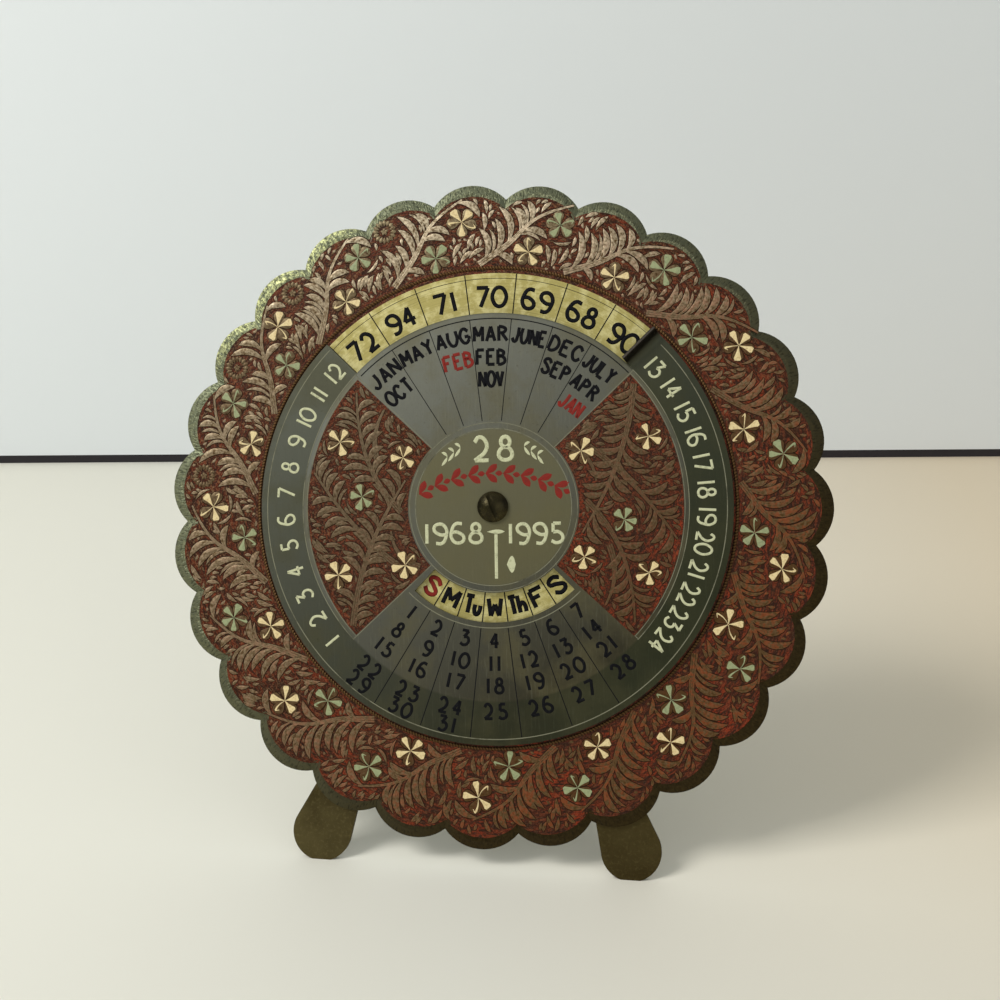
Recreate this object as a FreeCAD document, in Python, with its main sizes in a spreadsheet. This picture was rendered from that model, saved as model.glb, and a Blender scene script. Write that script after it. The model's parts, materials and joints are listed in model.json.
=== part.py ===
import FreeCAD
import Part
import Sketcher
import math
import os

from FreeCAD import Placement, Rotation, Vector

# A perpetual desk calendar of sheet brass. A round dial with a notch in its rim and a curved
# slot turns on a slotted screw in front of a scalloped plate. The plate leans back on two
# short paddle feet and a hinged strut. Z is up, the front looks along -Y, millimetres.

doc = FreeCAD.newDocument("calendar")
sheet = doc.addObject("Spreadsheet::Sheet", "sizes")

# Each size stands once: alias, value, what it is.
SIZES = [
    ("lean_angle", 20.0, "plate leans back from upright"),
    ("pivot_height", 77.4, "pivot axis at the back of the plate above the floor"),
    ("plate_tip_radius", 75.8, "plate centre to the tip of a scallop"),
    ("scallop_radius", 10.65, "radius of one scallop"),
    ("scallop_count", 27, "scallops round the plate"),
    ("plate_core_overlap", 3.0, "core disc reaches past the scallop centres"),
    ("plate_thickness", 1.8, "plate sheet"),
    ("bevel_width", 1.9, "rim bevel, seen from the front"),
    ("bevel_drop", 1.0, "rim bevel, depth at the edge"),
    ("pivot_above_centre", 1.7, "pivot hole above the plate centre"),
    ("dial_radius", 53.7, "dial rim"),
    ("dial_thickness", 0.9, "dial sheet"),
    ("dial_roll", 3.0, "dial stands turned this much, counter-clockwise from the front"),
    ("notch_floor_radius", 44.05, "floor of the rim notch"),
    ("notch_left_angle", 45.0, "left end of the notch from the dial's top line"),
    ("bend_line_angle", 46.6, "bend line of the finger tab from the dial's top line"),
    ("notch_run_out", 6.0, "notch cutter passes the dial rim"),
    ("slot_inner_radius", 19.4, "weekday slot, inner edge"),
    ("slot_outer_radius", 26.1, "weekday slot, outer edge"),
    ("slot_half_angle", 44.1, "weekday slot to either side of the dial's bottom line"),
    ("tab_bend_radius", 2.4, "finger tab, inside radius of its curl"),
    ("tab_bend_angle", 68.0, "finger tab, angle of its curl"),
    ("tab_straight", 1.5, "finger tab, straight lip after the curl"),
    ("tab_lip_round", 0.25, "finger tab, rounding of its lip"),
    ("spacer_radius", 5.5, "spacer between plate and dial"),
    ("spacer_thickness", 0.5, "spacer sheet"),
    ("screw_shank_radius", 1.95, "pivot screw shank"),
    ("screw_head_radius", 3.5, "pivot screw head"),
    ("screw_head_height", 2.3, "pivot screw head, dome included"),
    ("screw_head_wall", 0.6, "upright wall under the dome of the head"),
    ("screw_slot_width", 0.9, "driver slot, width"),
    ("screw_slot_depth", 1.1, "driver slot, depth"),
    ("screw_slot_angle", 115.0, "driver slot turned from the horizontal"),
    ("screw_end_length", 1.2, "screw stands out behind the nut"),
    ("washer_radius", 4.6, "washer under the nut"),
    ("washer_thickness", 0.8, "washer under the nut"),
    ("nut_across_flats", 7.0, "nut, across flats"),
    ("nut_thickness", 3.0, "nut"),
    ("nut_chamfer", 0.6, "nut, corner chamfer along the axis"),
    ("running_clearance", 0.05, "radial gap of a turning fit"),
    ("bore_clearance", 0.1, "radial gap of a bore that only passes the screw"),
    ("face_clearance", 0.02, "gap between faces that slide"),
    ("foot_thickness", 1.2, "feet sheet"),
    ("paddle_radius", 6.8, "round end of a foot"),
    ("foot_neck_radius", 4.0, "round upper end of a foot"),
    ("foot_length", 19.0, "paddle centre to upper end centre"),
    ("foot_splay", 20.0, "feet turn outwards from the upright"),
    ("left_foot_offset", 37.0, "left paddle centre from the middle"),
    ("right_foot_offset", 33.8, "right paddle centre from the middle"),
    ("paddle_drop", 75.9, "paddle centres below the pivot, along the plate"),
    ("floor_block", 30.0, "size of the block that files a foot flat"),
    ("hinge_drop", 14.0, "strut hinge below the pivot, along the plate"),
    ("hinge_leaf_height", 8.5, "fixed leaf, above the hinge axis"),
    ("hinge_leaf_thickness", 0.9, "fixed leaf sheet"),
    ("hinge_barrel_radius", 2.1, "hinge barrels"),
    ("hinge_barrel_lift", 0.15, "gap between barrels and plate"),
    ("hinge_side_barrel", 4.6, "length of each side barrel"),
    ("hinge_end_gap", 0.2, "gap between barrels, along the axis"),
    ("hinge_pin_radius", 0.9, "hinge pin"),
    ("hinge_pin_stand_out", 0.5, "pin end past the side barrels"),
    ("hinge_pin_head_radius", 1.5, "peened ends of the pin"),
    ("leaf_corner_radius", 1.6, "fixed leaf, upper corners"),
    ("strut_angle", 23.6, "strut slants back from upright"),
    ("strut_thickness", 1.2, "strut sheet"),
    ("strut_half_width", 4.5, "strut at the hinge, half its width"),
    ("strut_paddle_radius", 6.8, "round end of the strut"),
    ("strut_paddle_drop", 63.2, "strut paddle centre from the hinge axis"),
    ("stop_clearance", 0.06, "strut stop from the fixed leaf when open"),
]

sheet.set("A1", "size")
sheet.set("B1", "value")
sheet.set("C1", "what it is")
for row, (alias, value, note) in enumerate(SIZES, start=2):
    sheet.set("A%d" % row, alias)
    sheet.set("B%d" % row, str(value))
    sheet.setAlias("B%d" % row, alias)
    sheet.set("C%d" % row, note)
doc.recompute()


def size(alias):
    return float(sheet.get(alias))


def plane(body, role):
    for feature in body.Origin.OriginFeatures:
        if feature.Role == role:
            return feature
    raise RuntimeError("no plane " + role)


def new_body(name):
    return doc.addObject("PartDesign::Body", name)


def new_sketch(body, name, role="XY_Plane"):
    sketch = body.newObject("Sketcher::SketchObject", name)
    sketch.AttachmentSupport = [(plane(body, role), "")]
    sketch.MapMode = "FlatFace"
    return sketch


def bind(sketch, index, name, expression):
    sketch.renameConstraint(index, name)
    sketch.setExpression("Constraints." + name, expression)


def draw_circle(sketch, name, expression, radius):
    arc = sketch.addGeometry(Part.Circle(Vector(0, 0, 0), Vector(0, 0, 1), radius), False)
    sketch.addConstraint(Sketcher.Constraint("Coincident", arc, 3, -1, 1))
    index = sketch.addConstraint(Sketcher.Constraint("Radius", arc, radius))
    bind(sketch, index, name, expression)


def draw_sector(sketch, inner, outer, start, end):
    """A ring sector about the origin. Each argument is (name, expression, value)."""
    a0 = math.radians(start[2])
    a1 = math.radians(end[2])
    up = Vector(0, 0, 1)
    inner_circle = Part.Circle(Vector(0, 0, 0), up, inner[2])
    outer_circle = Part.Circle(Vector(0, 0, 0), up, outer[2])
    arc_in = sketch.addGeometry(Part.ArcOfCircle(inner_circle, a0, a1), False)
    arc_out = sketch.addGeometry(Part.ArcOfCircle(outer_circle, a0, a1), False)

    def at(radius, angle):
        return Vector(radius * math.cos(angle), radius * math.sin(angle), 0)

    side0 = sketch.addGeometry(Part.LineSegment(at(inner[2], a0), at(outer[2], a0)), False)
    side1 = sketch.addGeometry(Part.LineSegment(at(inner[2], a1), at(outer[2], a1)), False)
    for first, first_end, second, second_end in (
        (arc_in, 3, -1, 1), (arc_out, 3, -1, 1),
        (side0, 1, arc_in, 1), (side0, 2, arc_out, 1),
        (side1, 1, arc_in, 2), (side1, 2, arc_out, 2),
    ):
        sketch.addConstraint(
            Sketcher.Constraint("Coincident", first, first_end, second, second_end))
    for side in (side0, side1):
        sketch.addConstraint(Sketcher.Constraint("PointOnObject", -1, 1, side))
    for kind, geometry, (name, expression, value) in (
        ("Radius", arc_in, inner), ("Radius", arc_out, outer),
    ):
        index = sketch.addConstraint(Sketcher.Constraint(kind, geometry, value))
        bind(sketch, index, name, expression)
    for side, (name, expression, value) in ((side0, start), (side1, end)):
        turn = (value + 180.0) % 360.0 - 180.0
        index = sketch.addConstraint(
            Sketcher.Constraint("Angle", side, math.radians(turn)))
        bind(sketch, index, name, expression)


def draw_paddle(sketch, paddle, neck, length):
    """A strip with two round ends joined by tangent sides: the paddle end at the origin,
    the neck end on +Y. Each argument is (name, expression, value)."""
    up = Vector(0, 0, 1)
    tilt = math.asin((paddle[2] - neck[2]) / length[2])
    low = Part.Circle(Vector(0, 0, 0), up, paddle[2])
    high = Part.Circle(Vector(0, length[2], 0), up, neck[2])
    arc_low = sketch.addGeometry(Part.ArcOfCircle(low, math.pi - tilt, 2 * math.pi + tilt), False)
    arc_high = sketch.addGeometry(Part.ArcOfCircle(high, tilt, math.pi - tilt), False)

    def on(circle, angle):
        return circle.Center + Vector(math.cos(angle), math.sin(angle), 0) * circle.Radius

    left = sketch.addGeometry(
        Part.LineSegment(on(high, math.pi - tilt), on(low, math.pi - tilt)), False)
    right = sketch.addGeometry(Part.LineSegment(on(low, tilt), on(high, tilt)), False)
    sketch.addConstraint(Sketcher.Constraint("Coincident", arc_low, 3, -1, 1))
    sketch.addConstraint(Sketcher.Constraint("PointOnObject", arc_high, 3, -2))
    sketch.addConstraint(Sketcher.Constraint("Tangent", arc_high, 2, left, 1))
    sketch.addConstraint(Sketcher.Constraint("Tangent", left, 2, arc_low, 1))
    sketch.addConstraint(Sketcher.Constraint("Tangent", arc_low, 2, right, 1))
    sketch.addConstraint(Sketcher.Constraint("Tangent", right, 2, arc_high, 1))
    for kind, where, (name, expression, value) in (
        ("Radius", (arc_low,), paddle), ("Radius", (arc_high,), neck),
        ("DistanceY", (arc_low, 3, arc_high, 3), length),
    ):
        index = sketch.addConstraint(Sketcher.Constraint(kind, *where, value))
        bind(sketch, index, name, expression)


def add_pad(body, name, sketch, expression, reverse=False):
    pad = body.newObject("PartDesign::Pad", name)
    pad.Profile = sketch
    pad.setExpression("Length", expression)
    pad.Reversed = reverse
    body.Tip = pad
    doc.recompute()
    return pad


def cut_through(body, name, sketch):
    before = body.Shape.Volume
    pocket = body.newObject("PartDesign::Pocket", name)
    pocket.Profile = sketch
    pocket.Type = "ThroughAll"
    pocket.Midplane = True
    body.Tip = pocket
    doc.recompute()
    if body.Shape.Volume >= before:
        raise RuntimeError(name + " cuts nothing")
    return pocket


# Places. The plate frame has its origin where the pivot axis leaves the back of the plate,
# X to the right, Y up along the plate and Z out of its front.
lean = size("lean_angle")
plate_frame = Placement(Vector(0, 0, size("pivot_height")), Rotation(Vector(1, 0, 0), 90 - lean))


def on_plate(x, y, z, turn=0.0):
    return plate_frame.multiply(Placement(Vector(x, y, z), Rotation(Vector(0, 0, 1), turn)))


spacer_back = size("plate_thickness")
dial_back = spacer_back + size("spacer_thickness") + size("face_clearance")
dial_front = dial_back + size("dial_thickness")
head_back = dial_front + size("face_clearance")

# Scalloped plate: a core disc and a ring of round scallops, each bevelled towards its edge.
plate = new_body("back_plate")
ring_radius = "(sizes.plate_tip_radius - sizes.scallop_radius)"
core = new_sketch(plate, "plate_core_outline")
draw_circle(core, "core_radius", ring_radius + " + sizes.plate_core_overlap",
            size("plate_tip_radius") - size("scallop_radius") + size("plate_core_overlap"))
add_pad(plate, "plate_core", core, "sizes.plate_thickness")
base = plate.newObject("PartDesign::AdditiveCylinder", "scallop_base")
base.setExpression("Radius", "sizes.scallop_radius")
base.setExpression("Height", "sizes.plate_thickness - sizes.bevel_drop")
crown = plate.newObject("PartDesign::AdditiveCone", "scallop_bevel")
crown.setExpression("Radius1", "sizes.scallop_radius")
crown.setExpression("Radius2", "sizes.scallop_radius - sizes.bevel_width")
crown.setExpression("Height", "sizes.bevel_drop")
for part in (base, crown):
    part.AttachmentSupport = [(plane(plate, "XY_Plane"), "")]
    part.MapMode = "FlatFace"
    part.setExpression("AttachmentOffset.Base.y", "-" + ring_radius)
crown.setExpression("AttachmentOffset.Base.z", "sizes.plate_thickness - sizes.bevel_drop")
doc.recompute()
scallops = plate.newObject("PartDesign::PolarPattern", "scallops")
scallops.Originals = [base, crown]
for feature in plate.Origin.OriginFeatures:
    if feature.Role == "Z_Axis":
        scallops.Axis = (feature, [""])
scallops.Angle = 360
scallops.setExpression("Occurrences", "sizes.scallop_count")
plate.Tip = scallops
doc.recompute()
hole = new_sketch(plate, "plate_pivot_outline")
hole.setExpression("AttachmentOffset.Base.y", "sizes.pivot_above_centre")
draw_circle(hole, "bore", "sizes.screw_shank_radius + sizes.bore_clearance",
            size("screw_shank_radius") + size("bore_clearance"))
cut_through(plate, "plate_pivot_hole", hole)
plate.Placement = on_plate(0, -size("pivot_above_centre"), 0)

# Dial: one sheet, notched and slotted, its finger tab curled up at the right end of the notch.
dial = new_body("dial")
disc = new_sketch(dial, "dial_outline")
draw_circle(disc, "rim", "sizes.dial_radius", size("dial_radius"))
add_pad(dial, "dial_disc", disc, "sizes.dial_thickness")
notch = new_sketch(dial, "notch_outline")
draw_sector(
    notch,
    ("floor", "sizes.notch_floor_radius", size("notch_floor_radius")),
    ("reach", "sizes.dial_radius + sizes.notch_run_out",
     size("dial_radius") + size("notch_run_out")),
    ("bend_side", "90 - sizes.bend_line_angle", 90 - size("bend_line_angle")),
    ("left_side", "90 + sizes.notch_left_angle", 90 + size("notch_left_angle")),
)
cut_through(dial, "year_notch", notch)
slot = new_sketch(dial, "slot_outline")
draw_sector(
    slot,
    ("slot_in", "sizes.slot_inner_radius", size("slot_inner_radius")),
    ("slot_out", "sizes.slot_outer_radius", size("slot_outer_radius")),
    ("slot_start", "-90 - sizes.slot_half_angle", -90 - size("slot_half_angle")),
    ("slot_end", "-90 + sizes.slot_half_angle", -90 + size("slot_half_angle")),
)
cut_through(dial, "weekday_slot", slot)
bore = new_sketch(dial, "dial_bore_outline")
draw_circle(bore, "bore", "sizes.screw_shank_radius + sizes.running_clearance",
            size("screw_shank_radius") + size("running_clearance"))
cut_through(dial, "dial_bore", bore)

# The tab is swept along its curl in a plane square to the bend line: the section is the
# band of sheet between notch floor and rim, the path an arc and a straight lip.
curl = new_sketch(dial, "tab_curl", "YZ_Plane")
sheet_t = size("dial_thickness")
inside = size("tab_bend_radius")
turned = math.radians(size("tab_bend_angle"))
lip = size("tab_straight")
centre = Vector(0, sheet_t + inside, 0)
inner_arc = Part.ArcOfCircle(
    Part.Circle(centre, Vector(0, 0, 1), inside), -math.pi / 2, -math.pi / 2 + turned)
outer_arc = Part.ArcOfCircle(
    Part.Circle(centre, Vector(0, 0, 1), inside + sheet_t), -math.pi / 2, -math.pi / 2 + turned)
along = Vector(math.cos(turned), math.sin(turned), 0)
inner_end = inner_arc.EndPoint
outer_end = outer_arc.EndPoint
g_inner = curl.addGeometry(inner_arc, False)
g_outer = curl.addGeometry(outer_arc, False)
g_root = curl.addGeometry(
    Part.LineSegment(outer_arc.StartPoint, inner_arc.StartPoint), False)
g_lip_in = curl.addGeometry(Part.LineSegment(inner_end, inner_end + along * lip), False)
g_lip_out = curl.addGeometry(Part.LineSegment(outer_end, outer_end + along * lip), False)
g_end = curl.addGeometry(
    Part.LineSegment(outer_end + along * lip, inner_end + along * lip), False)
for rule in (
    ("Coincident", g_root, 1, -1, 1),
    ("Coincident", g_root, 1, g_outer, 1),
    ("Coincident", g_root, 2, g_inner, 1),
    ("Coincident", g_inner, 3, g_outer, 3),
    ("PointOnObject", g_inner, 3, -2),
    ("PointOnObject", g_root, 2, -2),
    ("Tangent", g_inner, 2, g_lip_in, 1),
    ("Tangent", g_outer, 2, g_lip_out, 1),
    ("Coincident", g_lip_in, 2, g_end, 2),
    ("Coincident", g_lip_out, 2, g_end, 1),
    ("Perpendicular", g_end, g_lip_out),
):
    curl.addConstraint(Sketcher.Constraint(*rule))
for kind, where, name, expression, value in (
    ("Radius", (g_inner,), "inside", "sizes.tab_bend_radius", inside),
    ("DistanceY", (g_root, 1, g_root, 2), "sheet", "sizes.dial_thickness", sheet_t),
    ("Distance", (g_lip_in,), "straight", "sizes.tab_straight", lip),
    ("Angle", (g_lip_in,), "turned", "sizes.tab_bend_angle", turned),
):
    index = curl.addConstraint(Sketcher.Constraint(kind, *where, value))
    bind(curl, index, name, expression)
curl.AttachmentOffset = Placement(Vector(0, 0, 0), Rotation(Vector(0, 1, 0), 0))
curl.setExpression("AttachmentOffset.Rotation.Angle", "90 deg - sizes.bend_line_angle * 1 deg")
turn = math.radians(90 - size("bend_line_angle"))
curl.setExpression("AttachmentOffset.Base.x",
                   "sizes.notch_floor_radius * sin(90 deg - sizes.bend_line_angle * 1 deg)")
curl.setExpression("AttachmentOffset.Base.z",
                   "sizes.notch_floor_radius * cos(90 deg - sizes.bend_line_angle * 1 deg)")
add_pad(dial, "finger_tab", curl, "sizes.dial_radius - sizes.notch_floor_radius")
lip_edges = []
for number, edge in enumerate(dial.Shape.Edges, start=1):
    if edge.BoundBox.ZMin > sheet_t + inside * (1 - math.cos(turned)) + 0.5 * lip * math.sin(turned):
        if abs(edge.Length - (size("dial_radius") - size("notch_floor_radius"))) < 1e-4:
            lip_edges.append("Edge%d" % number)
tab = dial.Tip
lip_round = dial.newObject("PartDesign::Fillet", "tab_lip")
lip_round.Base = (tab, lip_edges)
lip_round.setExpression("Radius", "sizes.tab_lip_round")
dial.Tip = lip_round
doc.recompute()
dial.Placement = on_plate(0, 0, dial_back, size("dial_roll"))


def ring(name, outer, thickness, inner):
    body = new_body(name)
    outline = new_sketch(body, name + "_outline")
    draw_circle(outline, "outer", outer[0], outer[1])
    add_pad(body, name + "_disc", outline, thickness)
    middle = new_sketch(body, name + "_bore_outline")
    draw_circle(middle, "inner", inner[0], inner[1])
    cut_through(body, name + "_bore", middle)
    return body


# Spacer that holds the dial off the plate, and the washer under the nut.
passing = ("sizes.screw_shank_radius + sizes.bore_clearance",
           size("screw_shank_radius") + size("bore_clearance"))
spacer = ring("spacer_washer", ("sizes.spacer_radius", size("spacer_radius")),
              "sizes.spacer_thickness", passing)
spacer.Placement = on_plate(0, 0, spacer_back)
washer = ring("back_washer", ("sizes.washer_radius", size("washer_radius")),
              "sizes.washer_thickness", passing)
washer.Placement = on_plate(0, 0, -size("washer_thickness"))

# Pivot screw: one turned profile with a domed, slotted head.
screw = new_body("pivot_screw")
profile = new_sketch(screw, "screw_profile", "XZ_Plane")
nut_back = size("washer_thickness") + size("nut_thickness")
tail = nut_back + size("screw_end_length")
head_r = size("screw_head_radius")
shank_r = size("screw_shank_radius")
wall = size("screw_head_wall")
rise = size("screw_head_height") - wall
dome_r = (head_r * head_r + rise * rise) / (2 * rise)
points = [
    Vector(0, -tail, 0),
    Vector(shank_r, -tail, 0),
    Vector(shank_r, head_back, 0),
    Vector(head_r, head_back, 0),
    Vector(head_r, head_back + wall, 0),
    Vector(0, head_back + wall + rise, 0),
]
lines = [
    profile.addGeometry(Part.LineSegment(points[i], points[i + 1]), False) for i in range(4)
]
dome_middle = Vector(0, head_back + wall + rise - dome_r, 0)
dome = profile.addGeometry(
    Part.ArcOfCircle(Part.Circle(dome_middle, Vector(0, 0, 1), dome_r),
                     math.asin((dome_r - rise) / dome_r), math.pi / 2), False)
axis = profile.addGeometry(Part.LineSegment(points[5], points[0]), False)
rules = [("Coincident", lines[i], 2, lines[i + 1], 1) for i in range(3)]
rules += [
    ("Coincident", lines[3], 2, dome, 1),
    ("Coincident", dome, 2, axis, 1),
    ("Coincident", axis, 2, lines[0], 1),
    ("PointOnObject", axis, 1, -2),
    ("PointOnObject", axis, 2, -2),
    ("PointOnObject", dome, 3, -2),
    ("Horizontal", lines[0]),
    ("Vertical", lines[1]),
    ("Horizontal", lines[2]),
    ("Vertical", lines[3]),
]
for rule in rules:
    profile.addConstraint(Sketcher.Constraint(*rule))
for kind, where, name, expression, value in (
    ("DistanceX", (lines[0], 1, lines[0], 2), "shank", "sizes.screw_shank_radius", shank_r),
    ("DistanceX", (-1, 1, lines[2], 2), "head", "sizes.screw_head_radius", head_r),
    ("DistanceY", (lines[3], 1, lines[3], 2), "wall", "sizes.screw_head_wall", wall),
    ("DistanceY", (lines[3], 1, axis, 1), "crown", "sizes.screw_head_height",
     size("screw_head_height")),
    ("DistanceY", (-1, 1, lines[1], 2), "seat",
     "sizes.plate_thickness + sizes.spacer_thickness + sizes.dial_thickness"
     " + 2 * sizes.face_clearance", head_back),
    ("DistanceY", (lines[1], 1, lines[1], 2), "shank_length",
     "sizes.plate_thickness + sizes.spacer_thickness + sizes.dial_thickness"
     " + 2 * sizes.face_clearance + sizes.washer_thickness + sizes.nut_thickness"
     " + sizes.screw_end_length", head_back + tail),
):
    index = profile.addConstraint(Sketcher.Constraint(kind, *where, value))
    bind(profile, index, name, expression)
turned_part = screw.newObject("PartDesign::Revolution", "screw_turned")
turned_part.Profile = profile
turned_part.ReferenceAxis = (profile, ["V_Axis"])
turned_part.Angle = 360
screw.Tip = turned_part
doc.recompute()
before = screw.Shape.Volume
driver = screw.newObject("PartDesign::SubtractiveBox", "driver_slot")
driver.AttachmentSupport = [(plane(screw, "XY_Plane"), "")]
driver.MapMode = "FlatFace"
driver.setExpression("Length", "4 * sizes.screw_head_radius")
driver.setExpression("Width", "sizes.screw_slot_width")
driver.setExpression("Height", "2 * sizes.screw_slot_depth")
driver.AttachmentOffset = Placement(
    Vector(0, 0, 0), Rotation(Vector(0, 0, 1), 0))
driver.setExpression("AttachmentOffset.Base.x", "-2 * sizes.screw_head_radius")
driver.setExpression("AttachmentOffset.Base.y", "-sizes.screw_slot_width / 2")
driver.setExpression(
    "AttachmentOffset.Base.z",
    "sizes.plate_thickness + sizes.spacer_thickness + sizes.dial_thickness"
    " + 2 * sizes.face_clearance + sizes.screw_head_height - sizes.screw_slot_depth")
screw.Tip = driver
doc.recompute()
if screw.Shape.Volume >= before:
    raise RuntimeError("the driver slot cuts nothing")
screw.Placement = on_plate(0, 0, 0, size("screw_slot_angle"))

# Nut: a hexagonal prism, its corners turned down at the back, bored to stand on the screw.
nut_prism = doc.addObject("Part::Prism", "nut_prism")
nut_prism.Polygon = 6
nut_prism.setExpression("Circumradius", "sizes.nut_across_flats / 2 / cos(30 deg)")
nut_prism.setExpression("Height", "sizes.nut_thickness")
nut_cone = doc.addObject("Part::Cone", "nut_turning")
nut_cone.setExpression("Radius1", "sizes.nut_across_flats / 2 - sizes.nut_chamfer / 2")
nut_cone.setExpression("Radius2", "sizes.nut_across_flats / 2 - sizes.nut_chamfer / 2"
                       " + sizes.nut_thickness / tan(30 deg)")
nut_cone.setExpression("Height", "sizes.nut_thickness")
nut_body = doc.addObject("Part::Common", "nut_turned")
nut_body.Base = nut_prism
nut_body.Tool = nut_cone
nut_bore = doc.addObject("Part::Cylinder", "nut_bore")
nut_bore.setExpression("Radius", "sizes.screw_shank_radius + sizes.face_clearance")
nut_bore.setExpression("Height", "sizes.nut_thickness")
nut = doc.addObject("Part::Cut", "pivot_nut")
nut.Base = nut_body
nut.Tool = nut_bore
doc.recompute()
nut.Placement = on_plate(0, 0, -nut_back, 11)


def floor_cutter(name, x, y):
    """A block whose top face is the floor, centred under a foot."""
    block = doc.addObject("Part::Box", name)
    block.setExpression("Length", "sizes.floor_block")
    block.setExpression("Width", "sizes.floor_block")
    block.setExpression("Height", "sizes.floor_block")
    half = size("floor_block") / 2
    block.Placement = Placement(Vector(x - half, y - half, -2 * half), Rotation())
    return block


def add_foot(name, side, offset):
    body = new_body(name + "_sheet")
    outline = new_sketch(body, name + "_outline")
    draw_paddle(
        outline,
        ("paddle", "sizes.paddle_radius", size("paddle_radius")),
        ("neck", "sizes.foot_neck_radius", size("foot_neck_radius")),
        ("length", "sizes.foot_length", size("foot_length")),
    )
    add_pad(body, name + "_pad", outline, "sizes.foot_thickness", reverse=True)
    body.Placement = on_plate(
        side * size(offset), -size("paddle_drop"), 0, side * size("foot_splay"))
    block = floor_cutter(name + "_floor", body.Placement.Base.x, body.Placement.Base.y)
    foot = doc.addObject("Part::Cut", name)
    foot.Base = body
    foot.Tool = block
    return foot


# Feet: flat paddles soldered to the back of the plate, filed flat where they stand.
left_foot = add_foot("left_foot", -1, "left_foot_offset")
right_foot = add_foot("right_foot", 1, "right_foot_offset")

# Strut hinge: a fixed leaf on the back of the plate with a barrel at each side.
barrel = size("hinge_barrel_radius")
hinge_back = barrel + size("hinge_barrel_lift")
strut_half = size("strut_half_width")
side_start = strut_half + size("hinge_end_gap")
side_end = side_start + size("hinge_side_barrel")
leaf = new_body("hinge_leaf")
leaf_outline = new_sketch(leaf, "leaf_outline")
corners = [
    Vector(-side_end, 0, 0), Vector(side_end, 0, 0),
    Vector(side_end, size("hinge_leaf_height"), 0),
    Vector(-side_end, size("hinge_leaf_height"), 0),
]
sides = [
    leaf_outline.addGeometry(Part.LineSegment(corners[i], corners[(i + 1) % 4]), False)
    for i in range(4)
]
for i in range(4):
    leaf_outline.addConstraint(
        Sketcher.Constraint("Coincident", sides[i], 2, sides[(i + 1) % 4], 1))
for kind, side in (("Horizontal", 0), ("Vertical", 1), ("Horizontal", 2), ("Vertical", 3)):
    leaf_outline.addConstraint(Sketcher.Constraint(kind, sides[side]))
leaf_outline.addConstraint(
    Sketcher.Constraint("Symmetric", sides[0], 1, sides[0], 2, -1, 1))
half_leaf = "sizes.strut_half_width + sizes.hinge_end_gap + sizes.hinge_side_barrel"
index = leaf_outline.addConstraint(
    Sketcher.Constraint("DistanceX", sides[0], 1, sides[0], 2, 2 * side_end))
bind(leaf_outline, index, "width", "2 * (" + half_leaf + ")")
index = leaf_outline.addConstraint(
    Sketcher.Constraint("DistanceY", sides[1], 1, sides[1], 2, size("hinge_leaf_height")))
bind(leaf_outline, index, "height", "sizes.hinge_leaf_height")
add_pad(leaf, "leaf_sheet", leaf_outline, "sizes.hinge_leaf_thickness", reverse=True)
corner_edges = []
for number, edge in enumerate(leaf.Shape.Edges, start=1):
    box = edge.BoundBox
    if box.ZLength > 0.5 * size("hinge_leaf_thickness") and box.YMin > 0.5 * corners[2].y:
        corner_edges.append("Edge%d" % number)
leaf_blank = leaf.Tip
rounding = leaf.newObject("PartDesign::Fillet", "leaf_corners")
rounding.Base = (leaf_blank, corner_edges)
rounding.setExpression("Radius", "sizes.leaf_corner_radius")
leaf.Tip = rounding
doc.recompute()
for name, start in (
    ("left_barrel", "-(" + half_leaf + ")"),
    ("right_barrel", "sizes.strut_half_width + sizes.hinge_end_gap"),
):
    tube = leaf.newObject("PartDesign::AdditiveCylinder", name)
    tube.AttachmentSupport = [(plane(leaf, "YZ_Plane"), "")]
    tube.MapMode = "FlatFace"
    tube.setExpression("Radius", "sizes.hinge_barrel_radius")
    tube.setExpression("Height", "sizes.hinge_side_barrel")
    tube.setExpression("AttachmentOffset.Base.y",
                       "-(sizes.hinge_barrel_radius + sizes.hinge_barrel_lift)")
    tube.setExpression("AttachmentOffset.Base.z", start)
    leaf.Tip = tube
    doc.recompute()
# The sheet between the side barrels is cut back so that the strut's barrel turns free.
relief = leaf.newObject("PartDesign::SubtractiveBox", "strut_relief")
relief.AttachmentSupport = [(plane(leaf, "XY_Plane"), "")]
relief.MapMode = "FlatFace"
relief.setExpression("Length", "2 * (sizes.strut_half_width + sizes.hinge_end_gap)")
relief.setExpression("Width", "2 * sizes.hinge_barrel_radius")
relief.setExpression("Height", "4 * sizes.hinge_barrel_radius")
relief.setExpression("AttachmentOffset.Base.x",
                     "-(sizes.strut_half_width + sizes.hinge_end_gap)")
relief.setExpression("AttachmentOffset.Base.y", "-sizes.hinge_barrel_radius")
relief.setExpression("AttachmentOffset.Base.z", "-2 * sizes.hinge_barrel_radius")
leaf.Tip = relief
doc.recompute()
pin_way = leaf.newObject("PartDesign::SubtractiveCylinder", "leaf_pin_bore")
pin_way.AttachmentSupport = [(plane(leaf, "YZ_Plane"), "")]
pin_way.MapMode = "FlatFace"
pin_way.setExpression("Radius", "sizes.hinge_pin_radius + sizes.face_clearance")
pin_way.setExpression("Height", "2 * (" + half_leaf + ")")
pin_way.setExpression("AttachmentOffset.Base.y",
                      "-(sizes.hinge_barrel_radius + sizes.hinge_barrel_lift)")
pin_way.setExpression("AttachmentOffset.Base.z", "-(" + half_leaf + ")")
leaf.Tip = pin_way
doc.recompute()
leaf.Placement = on_plate(0, -size("hinge_drop"), 0)

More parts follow.
